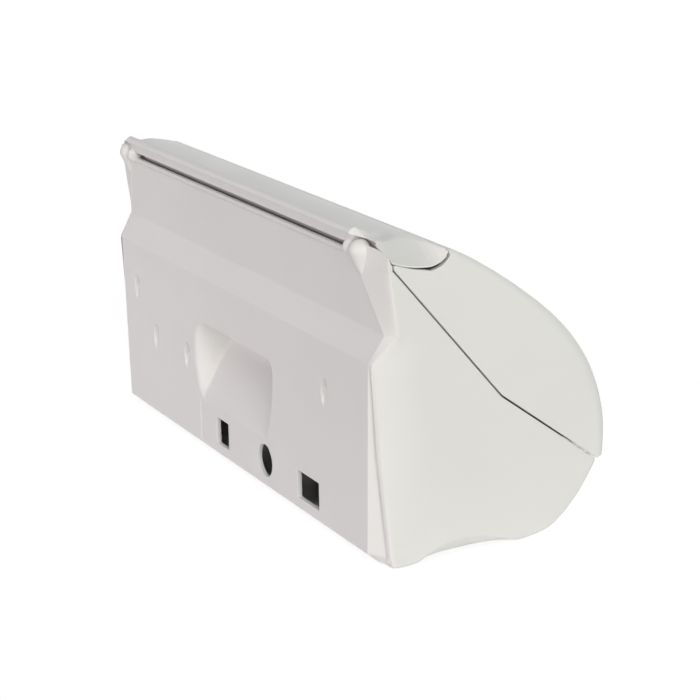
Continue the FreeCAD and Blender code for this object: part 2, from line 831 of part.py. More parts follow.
def rubber_foot(name, x, depth):
    """Foot disc with a stem pushed up through the floor and a small retaining bead."""
    disc = doc.addObject("Part::Cylinder", f"{name}_disc")
    bind(disc, "Radius", q("foot_radius"))
    bind(disc, "Height", q("floor_height"))
    stem = doc.addObject("Part::Cylinder", f"{name}_stem")
    bind(stem, "Radius", q("foot_stem_radius"))
    bind(stem, "Height", floor_top + 0.2)
    bead = doc.addObject("Part::Cone", f"{name}_bead")
    bind(bead, "Radius1", q("foot_stem_radius") + 0.8)
    bind(bead, "Radius2", q("foot_stem_radius") / 2)
    bind(bead, "Height", q("foot_stem_radius"))
    bind(bead, "Placement.Base.z", floor_top + 0.1)
    foot = fused(name, disc, stem, bead)
    bind(foot, "Placement.Base.x", x)
    bind(foot, "Placement.Base.y", half_depth - depth)
    return keep(foot, name)


def hub_bracket(name, side, inner):
    """Upright plate on a foot, with the bore for a hub's axle."""
    body = new_body(name)
    low = floor_top
    roll = at(q("roll_depth"), q("roll_height"))
    half = q("bracket_half")
    plate = [
        (roll[0] - half * 1.5, low),
        (roll[0] + half * 1.5, low),
        (roll[0] + half, roll[1], half + 0.001, True),
        (roll[0] - half, roll[1]),
    ]
    pad(body, "YZ_Plane", *span(side, inner, inner + q("bracket_thick")), plate)
    foot = box_between(roll[0] - half * 1.5, roll[0] + half * 1.5, low, low + q("bracket_foot_thick"))
    outer = q("scallop_block_inner") - q("fit_gap")
    pad(body, "YZ_Plane", *span(side, inner, outer), foot)
    pocket(body, "XY_Plane", low - 1, low + q("bracket_foot_thick") + 1, *screw_holes(floor_seats()[name]))
    bore = ("circle", *roll, q("axle_radius") + q("run_gap"))
    pocket(body, "YZ_Plane", *span(side, inner - 1, inner + q("bracket_thick") + 1), bore)
    return keep(body, name)


def axle(name, side, bracket_inner, head_gap):
    """Stepped axle with a head outside the bracket and a groove for its clip at the hub's nose."""
    body = new_body(name)
    head = bracket_inner + q("bracket_thick") + head_gap
    groove = core_plug_tip - q("fit_gap") - q("clip_thick")
    radius = q("axle_radius")
    tip = core_plug_tip - q("axle_nose")
    outline = [
        (tip, Size.of(0)),
        (tip, radius - 0.6),
        (tip + 0.6, radius),
        (groove - 0.05, radius),
        (groove - 0.05, q("axle_groove_radius")),
        (groove + q("clip_thick") + 0.05, q("axle_groove_radius")),
        (groove + q("clip_thick") + 0.05, radius),
        (head, radius),
        (head, q("axle_head_radius")),
        (head + q("axle_head_thick"), q("axle_head_radius")),
        (head + q("axle_head_thick"), Size.of(0)),
    ]
    turned(body, [(x * side, r) for x, r in outline])
    return placed_on_roll(keep(body, name))


def placed_on_roll(thing):
    """Moves an object made about the X axis onto the roll's axis."""
    bind(thing, "Placement.Base.y", half_depth - q("roll_depth"))
    bind(thing, "Placement.Base.z", q("roll_height"))
    return thing


def core_hub(name, side):
    """Core plug with a flange, turning on its axle."""
    body = new_body(name)
    bore = q("axle_radius") + q("run_gap")
    outline = [
        (core_plug_tip, bore),
        (core_plug_tip, q("core_plug_tip_radius") - 1.5),
        (core_plug_tip + 1.5, q("core_plug_tip_radius")),
        (q("flange_inner") - q("core_plug_length") / 2, q("core_plug_radius")),
        (q("flange_inner"), q("core_plug_radius")),
        (q("flange_inner"), q("flange_radius")),
        (flange_back, q("flange_radius")),
        (flange_back, bore),
    ]
    turned(body, [(x * side, r) for x, r in outline])
    return placed_on_roll(keep(body, name))


def axle_clip(name, side):
    """Spring-steel ring, open on one side, in the axle's groove."""
    body = new_body(name)
    low = core_plug_tip - q("fit_gap") - q("clip_thick")
    ring = ("circle", Size.of(0), Size.of(0), q("clip_radius"))
    hole = ("circle", Size.of(0), Size.of(0), q("axle_groove_radius") + 0.02)
    pad(body, "YZ_Plane", *span(side, low, low + q("clip_thick")), ring, hole)
    gap = box_between(-q("axle_groove_radius") * 0.8, q("axle_groove_radius") * 0.8, -q("clip_radius") - 1, 0)
    pocket(body, "YZ_Plane", *span(side, low - 1, low + q("clip_thick") + 1), gap)
    return placed_on_roll(keep(body, name))


def plunger_spring():
    """Coil spring between the left hub's thrust washer and its bracket, wound about the axle."""
    spring = doc.addObject("Part::Feature", "plunger_spring")
    wire = SIZES["spring_wire"]
    start = (flange_back + q("washer_thick") + q("fit_gap")).number + wire
    end = SIZES["sprung_bracket_inner"] - SIZES["fit_gap"] - wire
    pitch = (end - start) / SIZES["spring_turns"]
    helix = Part.makeHelix(pitch, end - start, SIZES["spring_radius"])
    circle = Part.Circle(FreeCAD.Vector(SIZES["spring_radius"], 0, 0), FreeCAD.Vector(0, 1, 0), wire)
    section = Part.Wire([circle.toShape()])
    spring.Shape = Part.Wire(helix.Edges).makePipeShell([section], True, True)
    spring.Placement = FreeCAD.Placement(
        FreeCAD.Vector(-start, (half_depth - q("roll_depth")).number, SIZES["roll_height"]),
        FreeCAD.Rotation(FreeCAD.Vector(0, 1, 0), -90),
    )
    return keep(spring, "plunger_spring")


def thrust_washer():
    """Washer on the sprung axle that takes the spring's push behind the left hub."""
    body = new_body("thrust_washer")
    low = flange_back + q("run_gap")
    ring = ("circle", Size.of(0), Size.of(0), q("axle_radius") + q("washer_reach"))
    hole = ("circle", Size.of(0), Size.of(0), q("axle_radius") + 0.02)
    pad(body, "YZ_Plane", *span(-1, low, low + q("washer_thick")), ring, hole)
    return placed_on_roll(keep(body, "thrust_washer"))


def film_bed():
    """Sloping bar over which the film leaves, with the blade's groove and two inlays for the grip strips."""
    body = new_body("film_bed")
    front, rear = -q("bed_front"), q("bed_rear")
    depth = -q("bed_thick")
    groove = q("groove_half")
    profile = [(front, depth), (rear, depth), (rear, Size.of(0))]
    for place in (q("grip_place"), -q("grip_place")):
        profile += [
            (place + q("grip_half"), Size.of(0)),
            (place + q("grip_half"), -q("grip_inlay")),
            (place - q("grip_half"), -q("grip_inlay")),
            (place - q("grip_half"), Size.of(0)),
        ]
        if place.number > 0:
            profile += [
                (groove, Size.of(0)),
                (groove, -q("groove_deep")),
                (-groove, -q("groove_deep")),
                (-groove, Size.of(0)),
            ]
    profile.append((front, Size.of(0)))
    length = cheek_inner - q("fit_gap")
    pad(body, "YZ_Plane", -length, length, profile)
    return on_bed(keep(body, "film_bed"))


def grip_strip(name, place):
    """Rubber strip laid in the bed, proud enough to hold the film's end."""
    body = new_body(name)
    strip = box_between(
        place - q("grip_half"), place + q("grip_half"), -q("grip_inlay"), q("grip_proud"),
    )
    pad(body, "YZ_Plane", -q("grip_half_length"), q("grip_half_length"), strip)
    return on_bed(keep(body, name))


def guide_roller():
    """Roller behind the bed that lays the film flat, with a journal at each end."""
    body = new_body("guide_roller")
    end = guide_bracket_inner + q("guide_bracket_thick")
    outline = [
        (-end, Size.of(0)),
        (-end, q("guide_journal")),
        (-q("guide_half"), q("guide_journal")),
        (-q("guide_half"), q("guide_radius")),
        (q("guide_half"), q("guide_radius")),
        (q("guide_half"), q("guide_journal")),
        (end, q("guide_journal")),
        (end, Size.of(0)),
    ]
    turned(body, outline)
    keep(body, "guide_roller")
    slope = math.radians(SIZES["bed_slope"])
    forward, up = math.cos(slope), math.sin(slope)
    bind(body, "Placement.Base.y", half_depth - bed_depth + q("guide_place") * forward + q("guide_drop") * up)
    bind(body, "Placement.Base.z", bed_height + q("guide_place") * up - q("guide_drop") * forward)
    return body


def guide_bracket(name, side):
    """Plate behind the film bed that carries one journal of the guide roller."""
    body = new_body(name)
    place, drop = q("guide_place"), -q("guide_drop")
    reach = q("guide_journal") + 2.5
    plate = [
        (q("bed_rear"), -q("bed_thick")),
        (place, drop - reach, reach + 0.001, True),
        (place, drop + reach),
        (q("bed_rear"), Size.of(-0.3)),
    ]
    inner = guide_bracket_inner
    pad(body, "YZ_Plane", *span(side, inner, inner + q("guide_bracket_thick")), plate)
    foot = box_between(q("bed_rear"), q("bed_rear") + 2, -q("bed_thick"), Size.of(-0.3))
    pad(body, "YZ_Plane", *span(side, inner, inner + 12), foot)
    bore = ("circle", place, drop, q("guide_journal") + q("run_gap"))
    pocket(body, "YZ_Plane", *span(side, inner - 1, inner + q("guide_bracket_thick") + 1), bore)
    return on_bed(keep(body, name))


def lid_cover():
    """Curved cover with its end walls, one wall thick, open along the seam, with lugs for the blade carrier."""
    body = new_body("lid_cover_walls")
    gap, wall = q("seam_gap"), q("wall")
    tip = at(lid_tip_depth, q("lid_tip_height"))
    brow = at(lid_brow_depth, q("lid_brow_height"))
    shoulder = at(q("lid_shoulder_depth"), q("lid_shoulder_height"))
    rear = at(q("lid_rear_depth"), q("lid_rear_height"))
    under_bar = at(q("bar_front_depth") + gap, q("bar_front_height"))
    behind_bar = at(q("bar_low_depth") + gap * 1.2, q("bar_low_height") - gap)
    cradle = q("bar_low_radius") + gap
    outline = [
        at(q("seam_front_depth") + 0.5, q("seam_front_height") + gap),
        (*tip, q("lid_brow_radius"), False),
        (*brow, q("lid_shoulder_radius"), False),
        (*shoulder, q("lid_back_radius"), False),
        rear,
        (*under_bar, cradle, True),
        behind_bar,
        at(q("seam_rear_depth") + gap * 0.78, q("seam_rear_height") + gap * 0.63),
        at(q("seam_kink_depth") + gap * 0.7, q("seam_kink_height") + gap * 0.72),
    ]
    pad(body, "YZ_Plane", -half_width, half_width, outline)
    brow_centre = exact_centre(tip, brow, q("lid_brow_radius"), False)
    back_centre = exact_centre(shoulder, rear, q("lid_back_radius"), False)
    cradle_centre = exact_centre(under_bar, behind_bar, cradle, True)
    inner_tip = inset(tip, brow_centre, q("lid_brow_radius"), wall)
    inner_rear = inset(rear, back_centre, q("lid_back_radius"), wall)
    inner_rear = (inner_rear[0] - wall, inner_rear[1] - wall / 2)
    inner_behind = inset(behind_bar, cradle_centre, cradle, -wall)
    hollow = [
        (inner_tip[0], inner_tip[1] - 2 * wall),
        (*inner_tip, q("lid_brow_radius") - wall, False),
        (*inset(brow, brow_centre, q("lid_brow_radius"), wall), q("lid_shoulder_radius") - wall, False),
        (*inset(shoulder, back_centre, q("lid_back_radius"), wall), q("lid_back_radius") - wall, False),
        (*inner_rear, cradle + wall, True),
        (inner_behind[0] - wall, inner_behind[1]),
        at(q("seam_rear_depth"), q("seam_rear_height") - 3 * wall),
        at(q("seam_kink_depth"), q("seam_kink_height") - 3 * wall),
        at(q("seam_front_depth") - 3 * wall, q("seam_front_height") - 2 * wall),
    ]
    pocket(body, "YZ_Plane", -cheek_inner, cheek_inner, hollow)
    lugs = []
    for name, side in SIDES:
        lug = new_body(f"{name}_lug")
        rest = box_between(Size.of(0), q("carrier_reach"), q("carrier_high"), q("carrier_high") + q("lug_tall"))
        pad(lug, "YZ_Plane", *span(side, q("lid_lug_inner"), cheek_inner + 0.5), rest)
        hole = ("circle", (carrier_half - 7) * side, q("lug_screw_place"), q("screw_radius") + q("run_gap"))
        pocket(lug, "XY_Plane", q("carrier_high") - 1, q("carrier_high") + q("lug_tall") - 0.8, hole)
        lugs.append(on_bed(lug))
    return keep(fused("lid_cover", body, *lugs), "lid_cover")


def top_bar():
    """Bar over the hinge: lens section, raised rear lip, knuckles at both ends, hollow underneath."""
    body = new_body("top_bar_section")
    lens = [
        (*at(q("bar_front_depth"), q("bar_front_height")), q("bar_top_radius"), False),
        at(q("bar_rear_depth"), q("bar_rear_height")),
        (*at(q("bar_low_depth"), q("bar_low_height")), q("bar_low_radius"), False),
    ]
    pad(body, "YZ_Plane", -half_width, half_width, lens)
    lip = [
        at(q("bar_strip_depth"), q("bar_strip_height")),
        at(q("bar_strip_depth") + q("wall"), q("bar_strip_height")),
        at(q("bar_strip_depth") + 4.6, q("bar_strip_height") + 3.0),
        at(q("bar_low_depth") + 5, q("bar_low_height") + 9),
        at(q("bar_lip_depth") + 7, q("bar_lip_height") - 1.6),
        at(q("bar_lip_depth"), q("bar_lip_height")),
        at(q("bar_bead_depth") + 0.9, q("bar_bead_height") + 1.6),
        at(q("bar_bead_depth"), q("bar_bead_height")),
    ]
    pad(body, "YZ_Plane", -q("bar_lip_half"), q("bar_lip_half"), lip)
    hinge = at(q("hinge_depth"), q("hinge_height"))
    clear = ("circle", *hinge, q("ear_radius") + q("seam_gap"))
    for _, side in SIDES:
        ear_space = span(side, q("ear_inner") - q("fit_gap") * 2, q("ear_clear_outer") + q("seam_gap"))
        pocket(body, "YZ_Plane", *ear_space, clear)
        stretch = span(side, q("knuckle_inner"), q("ear_inner") - q("fit_gap") * 2)
        knuckle = ("circle", *hinge, q("knuckle_radius"))
        pad(body, "YZ_Plane", *stretch, knuckle)
        web = [
            at(q("bar_bead_depth") + 0.4, q("bar_bead_height")),
            at(q("bar_strip_depth") - 2.2, q("hinge_height")),
            at(q("hinge_depth") + 3, q("hinge_height")),
            at(q("hinge_depth") + 6, q("bar_bead_height")),
        ]
        pad(body, "YZ_Plane", *stretch, web)
        bore = ("circle", *hinge, q("pin_radius") + q("run_gap"))
        ends = span(side, q("knuckle_inner") - 1, q("ear_inner") + 1)
        pocket(body, "YZ_Plane", *ends, bore)
    ceiling = q("bar_rear_height") - 0.8
    hollow = [
        at(q("bar_hollow_start"), q("bar_low_height") - 10),
        at(q("bar_hollow_end"), q("bar_low_height") - 10),
        (*at(q("bar_hollow_end"), q("bar_front_height") - 0.3), q("bar_top_radius") - q("wall"), False),
        at(q("bar_hollow_start"), ceiling),
    ]
    pocket(body, "YZ_Plane", -cheek_inner, cheek_inner, hollow)
    bosses = []
    for index, place in enumerate((-0.42, -0.14, 0.14, 0.42)):
        boss = doc.addObject("Part::Cylinder", f"bar_boss_{index}")
        bind(boss, "Radius", q("bar_boss_radius"))
        bind(boss, "Height", Size.of(13.6))
        bind(boss, "Placement.Base.x", q("width") * place)
        bind(boss, "Placement.Base.y", half_depth - q("bar_boss_depth"))
        bind(boss, "Placement.Base.z", q("bar_low_height") - 4.4)
        bosses.append(boss)
    return keep(fused("top_bar", body, *bosses), "top_bar")


def blade_carrier():
    """Channel across the lid, screwed up into the lugs, that the blade is clamped to."""
    body = new_body("blade_carrier")
    face = q("blade_thick") / 2
    web = face + q("carrier_wall")
    low, high, thick = q("carrier_low"), q("carrier_high"), q("carrier_wall")
    channel = [
        (face, low),
        (q("carrier_reach"), low),
        (q("carrier_reach"), low + thick),
        (web, low + thick),
        (web, high - thick),
        (q("carrier_reach"), high - thick),
        (q("carrier_reach"), high),
        (face, high),
    ]
    pad(body, "YZ_Plane", -carrier_half, carrier_half, channel)
    radius = q("screw_radius") + q("run_gap")
    upright = [("circle", x, q("lug_screw_place"), radius) for x in lug_seats()]
    pocket(body, "XY_Plane", high - thick - 1, high + 1, *upright)
    level = [("circle", x, clamp_middle, radius) for x in clamp_seats()]
    pocket(body, "XZ_Plane", -web - 1, 0, *level)
    return on_bed(keep(body, "blade_carrier"))


def cutter_blade():
    """Thin steel blade with a row of teeth that dips into the bed's groove when the lid is shut."""
    body = new_body("cutter_blade")
    half = q("blade_half")
    edge = box_between(-half, half, q("blade_tip"), q("blade_top"))
    pad(body, "XZ_Plane", -q("blade_thick") / 2, q("blade_thick") / 2, edge)
    first = -half
    gullet = [
        (first - 0.001, q("blade_tip") - 1),
        (first + q("tooth_pitch") - 0.5, q("blade_tip") - 1),
        (first + q("tooth_pitch") - 0.5, q("blade_tip")),
        (first + q("tooth_pitch") / 2, q("blade_tip") + q("tooth_deep")),
        (first - 0.001, q("blade_tip") + 0.2),
    ]
    cut_one = pocket(body, "XZ_Plane", -q("blade_thick"), q("blade_thick"), gullet)
    pattern = body.newObject("PartDesign::LinearPattern", "teeth_row")
    pattern.Originals = [cut_one]
    pattern.Direction = (cut_one.Profile[0], ["H_Axis"])
    bind(pattern, "Length", q("tooth_pitch") * (q("teeth") - 1))
    pattern.Occurrences = COUNTS["teeth"]
    body.Tip = pattern
    holes = [("circle", x, clamp_middle, q("screw_radius") + q("run_gap")) for x in clamp_seats()]
    pocket(body, "XZ_Plane", -q("blade_thick"), q("blade_thick"), *holes)
    return on_bed(keep(body, "cutter_blade"))


def blade_clamp():
    """Strip that holds the blade against the carrier."""
    body = new_body("blade_clamp")
    face = -q("blade_thick") / 2
    strip = box_between(face - q("clamp_thick"), face, q("clamp_low"), q("blade_top") + 0.5)
    pad(body, "YZ_Plane", -q("clamp_half"), q("clamp_half"), strip)
    holes = [("circle", x, clamp_middle, q("screw_radius") + q("run_gap")) for x in clamp_seats()]
    pocket(body, "XZ_Plane", 0, q("clamp_thick") + q("blade_thick"), *holes)
    return on_bed(keep(body, "blade_clamp"))


def press_pad():
    """Rubber strip under the carrier that presses the film's end on the rear grip strip."""
    body = new_body("press_pad")
    place = q("grip_place")
    strip = box_between(
        place - q("pad_half"), place + q("pad_half"), q("carrier_low") - q("pad_thick"), q("carrier_low"),
    )
    pad(body, "YZ_Plane", -q("grip_half_length"), q("grip_half_length"), strip)
    return on_bed(keep(body, "press_pad"))


def screw(name, turn, place, length):
    """Pan-head screw standing on its seat: the slotted head is above the place, the shank below it."""
    head = doc.addObject("Part::Cylinder", f"{name}_head")
    bind(head, "Radius", q("screw_head_radius"))
    bind(head, "Height", q("screw_head"))
    slot = doc.addObject("Part::Box", f"{name}_slot")
    bind(slot, "Length", q("screw_head_radius") * 1.3)
    bind(slot, "Width", q("screw_radius") / 2)
    bind(slot, "Height", q("screw_head"))
    bind(slot, "Placement.Base.x", q("screw_head_radius") * -0.65)
    bind(slot, "Placement.Base.y", q("screw_radius") / -4)
    bind(slot, "Placement.Base.z", q("screw_head") * 0.45)
    shank = doc.addObject("Part::Cylinder", f"{name}_shank")
    bind(shank, "Radius", q("screw_radius"))
    bind(shank, "Height", length)
    bind(shank, "Placement.Base.z", -length)
    whole = fused(name, cut(f"{name}_slotted", head, slot), shank)
    whole.Placement.Rotation = turn
    for axis, size in zip("xyz", place):
        bind(whole, f"Placement.Base.{axis}", size)
    return whole


def base_screws():
    """Screws in the base: through each foot and the floor under it."""
    length = floor_top - q("floor_height") - 0.2
    screws = [
        screw(f"base_screw_{index}", FreeCAD.Rotation(), (x, y, floor_top + thick), length + thick)
        for index, (x, y, thick) in enumerate(sum(floor_seats().values(), []))
    ]
    return keep(grouped("base_screws", screws), "base_screws")


def lid_screws():
    """Screws in the lid: through clamp, blade and carrier, and up through the carrier's ends into the lugs."""
    slope = SIZES["bed_slope"]
    facing_front = FreeCAD.Rotation(FreeCAD.Vector(1, 0, 0), slope + 90)
    facing_down = FreeCAD.Rotation(FreeCAD.Vector(1, 0, 0), slope + 180)
    clamp_face = -q("blade_thick") / 2 - q("clamp_thick")
    grip = q("clamp_thick") + q("blade_thick") + q("carrier_wall")
    screws = [
        screw(f"clamp_screw_{index}", facing_front, bed_place(x, clamp_face, clamp_middle), grip - 0.2)
        for index, x in enumerate(clamp_seats())
    ]
    for index, x in enumerate(lug_seats()):
        seat = bed_place(x, q("lug_screw_place"), q("carrier_high") - q("carrier_wall"))
        screws.append(screw(f"lug_screw_{index}", facing_down, seat, q("carrier_wall") + q("lug_tall") - 1))
    return keep(grouped("lid_screws", screws), "lid_screws")


def build():
    """Makes every sub-part."""
    base_tray()
    hollow = scoop_hollow()
    rear_panel(hollow)
    scoop_shell(hollow)
    upper_panel()
    for name, side in SIDES:
        end_cheek(f"{name}_end_cheek", side)
        hinge_pin(f"{name}_hinge_pin", side)
        core_hub(f"{name}_core_hub", side)
        axle_clip(f"{name}_axle_clip", side)
        guide_bracket(f"{name}_guide_bracket", side)
        for row in ("rear", "front"):
            rubber_foot(f"{row}_{name}_foot", q("foot_x") * side, q(f"foot_{row}_depth"))
    hub_bracket("right_hub_bracket", 1, fixed_bracket_inner)
    hub_bracket("left_hub_bracket", -1, q("sprung_bracket_inner"))
    axle("right_hub_axle", 1, fixed_bracket_inner, Size.of(0))
    axle("left_plunger_axle", -1, q("sprung_bracket_inner"), q("fit_gap"))
    thrust_washer()
    plunger_spring()
    film_bed()
    grip_strip("rear_grip_strip", q("grip_place"))
    grip_strip("front_grip_strip", -q("grip_place"))
    guide_roller()
    lid_cover()
    top_bar()
    blade_carrier()
    cutter_blade()
    blade_clamp()
    press_pad()
    base_screws()
    lid_screws()
    doc.recompute()


def export():
    """Checks every object, then writes each sub-part to its own file."""
    broken = [thing.Name for thing in doc.Objects if {"Invalid", "Error"} & set(thing.State)]
    if broken:
        raise RuntimeError(f"failed objects: {broken}")
    os.makedirs("parts", exist_ok=True)
    for thing in sub_parts:
        if thing.Shape.isNull() or not thing.Shape.isValid():
            raise RuntimeError(f"{thing.Label} has no valid shape")
        thing.Shape.exportStep(f"parts/{thing.Label}.step")
        box = thing.Shape.BoundBox
        print(
            f"{thing.Label:22s} solids {len(thing.Shape.Solids)} volume {thing.Shape.Volume:10.0f}"
            f"  x {box.XMin:7.1f} {box.XMax:7.1f}  y {box.YMin:6.1f} {box.YMax:6.1f}"
            f"  z {box.ZMin:6.1f} {box.ZMax:6.1f}"
        )


build()
export()
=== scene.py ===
import json
import math

import bmesh
import bpy
import numpy as np
from mathutils import Matrix, Vector


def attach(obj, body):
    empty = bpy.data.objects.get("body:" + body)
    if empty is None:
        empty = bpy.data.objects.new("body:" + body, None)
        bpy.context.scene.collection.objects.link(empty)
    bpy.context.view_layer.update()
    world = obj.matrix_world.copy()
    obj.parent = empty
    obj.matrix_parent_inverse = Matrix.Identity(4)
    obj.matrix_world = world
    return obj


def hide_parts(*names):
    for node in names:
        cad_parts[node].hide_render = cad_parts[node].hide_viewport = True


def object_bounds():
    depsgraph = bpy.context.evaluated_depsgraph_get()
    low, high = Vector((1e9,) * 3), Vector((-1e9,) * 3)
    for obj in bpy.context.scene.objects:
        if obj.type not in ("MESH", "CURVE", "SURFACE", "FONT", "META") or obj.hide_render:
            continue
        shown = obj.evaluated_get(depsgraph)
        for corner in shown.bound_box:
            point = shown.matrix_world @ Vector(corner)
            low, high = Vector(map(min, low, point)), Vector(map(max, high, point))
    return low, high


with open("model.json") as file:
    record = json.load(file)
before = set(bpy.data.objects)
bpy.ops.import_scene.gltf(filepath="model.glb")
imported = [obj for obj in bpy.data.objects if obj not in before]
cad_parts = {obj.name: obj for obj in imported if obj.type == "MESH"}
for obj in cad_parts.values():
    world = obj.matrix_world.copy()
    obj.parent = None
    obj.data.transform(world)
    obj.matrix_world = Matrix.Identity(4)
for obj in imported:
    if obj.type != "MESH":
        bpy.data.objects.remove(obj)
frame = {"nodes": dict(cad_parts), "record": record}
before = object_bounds()

# ---------------------------------------------------------------- rear wall
# The upright back of the base with its leaning top, off-white ABS moulded in one with the finger scoop,
# three ports, four screw pockets and a narrow wedge at each end. It is screwed to the tray from below.


# sizes are in millimetres; the frame gives the rear plane and the width, to the nearest tenth
half_width, rear_plane = (round(1000 * side, 1) for side in before[1][:2])
wall_thickness = 2.6
waist_height = 131.2


def place(x, depth, z):
    """Points in metres from millimetres along the roll, forwards from the rear plane, and up."""
    return np.stack(np.broadcast_arrays(x, rear_plane - depth, z), axis=-1) / 1000


def bend(x, xs, ys, soft):
    """The line through the corners (xs, ys), with each inner corner rounded over soft on both sides.
    A corner adds its change of slope times the ramp (t + soft)^2 / 4 soft, where t = x - corner."""
    slopes = [(b - a) / (d - c) for a, b, c, d in zip(ys, ys[1:], xs, xs[1:])]
    line = ys[0] + slopes[0] * (x - xs[0])
    for corner, low, high in zip(xs[1:], slopes, slopes[1:]):
        t = x - corner
        line = line + (high - low) * np.where(abs(t) < soft, (t + soft) ** 2 / (4 * soft), np.maximum(t, 0))
    return line


def least(a, b, soft):
    """The smaller of a and b, rounded where they cross: min(a, b) - max(soft - |a - b|, 0)^2 / 4 soft."""
    return np.minimum(a, b) - np.maximum(soft - abs(a - b), 0) ** 2 / (4 * soft)


def rounding(gap, radius):
    """How far a round edge falls at a distance from it: radius - sqrt(radius^2 - (radius - gap)^2)."""
    return radius - np.sqrt(radius**2 - np.clip(radius - gap, 0, radius) ** 2)


def spread(stops, steps):
    """Places from the first stop to the last, each stretch in equal parts no longer than its step."""
    runs = [np.linspace(a, b, math.ceil((b - a) / step - 1e-6), endpoint=False)
            for a, b, step in zip(stops, stops[1:], steps)]
    return np.concatenate(runs + [stops[-1:]])


def quads(grid, kept=True):
    """A grid of points as its points and the corners of its cells that are kept."""
    rows, columns = grid.shape[:2]
    index = np.arange(rows * columns).reshape(rows, columns)
    corners = np.stack([index[:-1, :-1], index[:-1, 1:], index[1:, 1:], index[1:, :-1]], axis=-1)
    return grid.reshape(-1, 3), corners[np.broadcast_to(kept, corners.shape[:2])]


def joined(parts):
    """Several pairs of points and faces as one."""
    starts = np.cumsum([0] + [len(points) for points, _ in parts])
    return (np.concatenate([points for points, _ in parts]),
            np.concatenate([faces + start for (_, faces), start in zip(parts, starts)]))


def skin(outer, inner):
    """A closed sheet: the outer patches, the inner ones turned over, and a wall along each free edge.
    Patches are grids or pairs for quads(); points of the outer skin less than 2 microns apart are one."""
    points, faces = joined([quads(*patch) for patch in outer])
    behind = np.concatenate([patch[0].reshape(-1, 3) for patch in inner])
    _, first, back = np.unique(np.round(points * 5e5), axis=0, return_index=True, return_inverse=True)
    points, behind, faces = points[first], behind[first], back.reshape(-1)[faces]
    edges = np.stack([faces, np.roll(faces, -1, axis=1)], axis=-1).reshape(-1, 2)
    edges = edges[edges[:, 0] != edges[:, 1]]
    count = len(points)
    free = edges[~np.isin(edges[:, 1] * count + edges[:, 0], edges[:, 0] * count + edges[:, 1])]
    walls = np.stack([free[:, 1], free[:, 0], free[:, 0] + count, free[:, 1] + count], axis=-1)
    return np.concatenate([points, behind]), np.concatenate([faces, faces[:, ::-1] + count, walls])


def tube(grid):
    """A solid from a grid whose rows are rings, each closed; piece() fills the first and the last."""
    return quads(np.concatenate([grid, grid[:, :1]], axis=1))


def loft(outline, xs, inset):
    """A closed solid: an outline of depths and heights carried along the roll, drawn in towards its own
    middle by an inset at each place."""
    middle = (outline.min(axis=0) + outline.max(axis=0)) / 2
    half = (outline.max(axis=0) - outline.min(axis=0)) / 2
    ring = middle + (outline - middle) * (1 - inset[:, None, None] / half)
    return tube(place(xs[:, None], ring[..., 0], ring[..., 1]))


def piece(name, body, solids, creases=30):
    """An object of closed solids riding on a body, smooth but for edges sharper than an angle."""
    points, faces = joined(solids)
    turns = faces != np.roll(faces, -1, axis=1)
    mesh = bpy.data.meshes.new(name)
    mesh.vertices.add(len(points))
    mesh.vertices.foreach_set("co", points.astype(np.float32).ravel())
    used = turns.sum(axis=1)
    faces, turns, used = faces[used > 2], turns[used > 2], used[used > 2]
    mesh.loops.add(turns.sum())
    mesh.loops.foreach_set("vertex_index", faces[turns].astype(np.int32))
    mesh.polygons.add(len(faces))
    mesh.polygons.foreach_set("loop_start", (np.cumsum(used) - used).astype(np.int32))
    mesh.update(calc_edges=True)
    sheet = bmesh.new()
    sheet.from_mesh(mesh)
    bmesh.ops.remove_doubles(sheet, verts=sheet.verts, dist=2e-6)
    bmesh.ops.dissolve_degenerate(sheet, edges=sheet.edges, dist=1e-6)
    bmesh.ops.holes_fill(sheet, edges=sheet.edges, sides=0)
    bmesh.ops.recalc_face_normals(sheet, faces=sheet.faces)
    sheet.to_mesh(mesh)
    sheet.free()
    mesh.shade_smooth()
    mesh.set_sharp_from_angle(angle=math.radians(creases))
    thing = bpy.data.objects.new(name, mesh)
    bpy.context.scene.collection.objects.link(thing)
    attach(thing, body)
    return thing


class Wire:
    """A node's output that takes part in sums, each of which adds a Math node to its tree."""

    def __init__(self, socket):
        self.socket = socket

    def node(self, kind, inputs, out=0, **settings):
        """A new node of this tree with its inputs by name or number, as one of its outputs."""
        tree = self.socket.id_data
        node = tree.nodes.new("ShaderNode" + kind)
        for name, value in settings.items():
            setattr(node, name, value)
        for name, value in inputs.items():
            if isinstance(value, Wire):
                tree.links.new(value.socket, node.inputs[name])
            else:
                node.inputs[name].default_value = value
        return None if out is None else Wire(node.outputs[out])

    def sum(self, operation, *values):
        return self.node("Math", dict(enumerate(values)), operation=operation)

    def __add__(self, other):
        return self.sum("ADD", self, other)

    def __sub__(self, other):
        return self.sum("SUBTRACT", self, other)

    def __rsub__(self, other):
        return self.sum("SUBTRACT", other, self)

    def __mul__(self, other):
        return self.sum("MULTIPLY", self, other)

    __radd__ = __add__
    __rmul__ = __mul__

    def noise(self, scale, detail=2.0, stretch=(1, 1, 1)):
        """Noise of about 0 to 1 on these coordinates, with so many features to the metre."""
        at = self.node("VectorMath", {0: self, 1: stretch}, operation="MULTIPLY")
        return at.node("TexNoise", {"Vector": at, "Scale": scale, "Detail": detail})

    def between(self, low, high):
        """0 below low, 1 above high, straight in between."""
        return self.node("MapRange", {"Value": self, "From Min": low, "From Max": high})

    def tint(self, dark, light):
        """A colour from dark at 0 to light at 1."""
        return self.node("Mix", {0: self, 6: (*dark, 1), 7: (*light, 1)}, 2, data_type="RGBA")


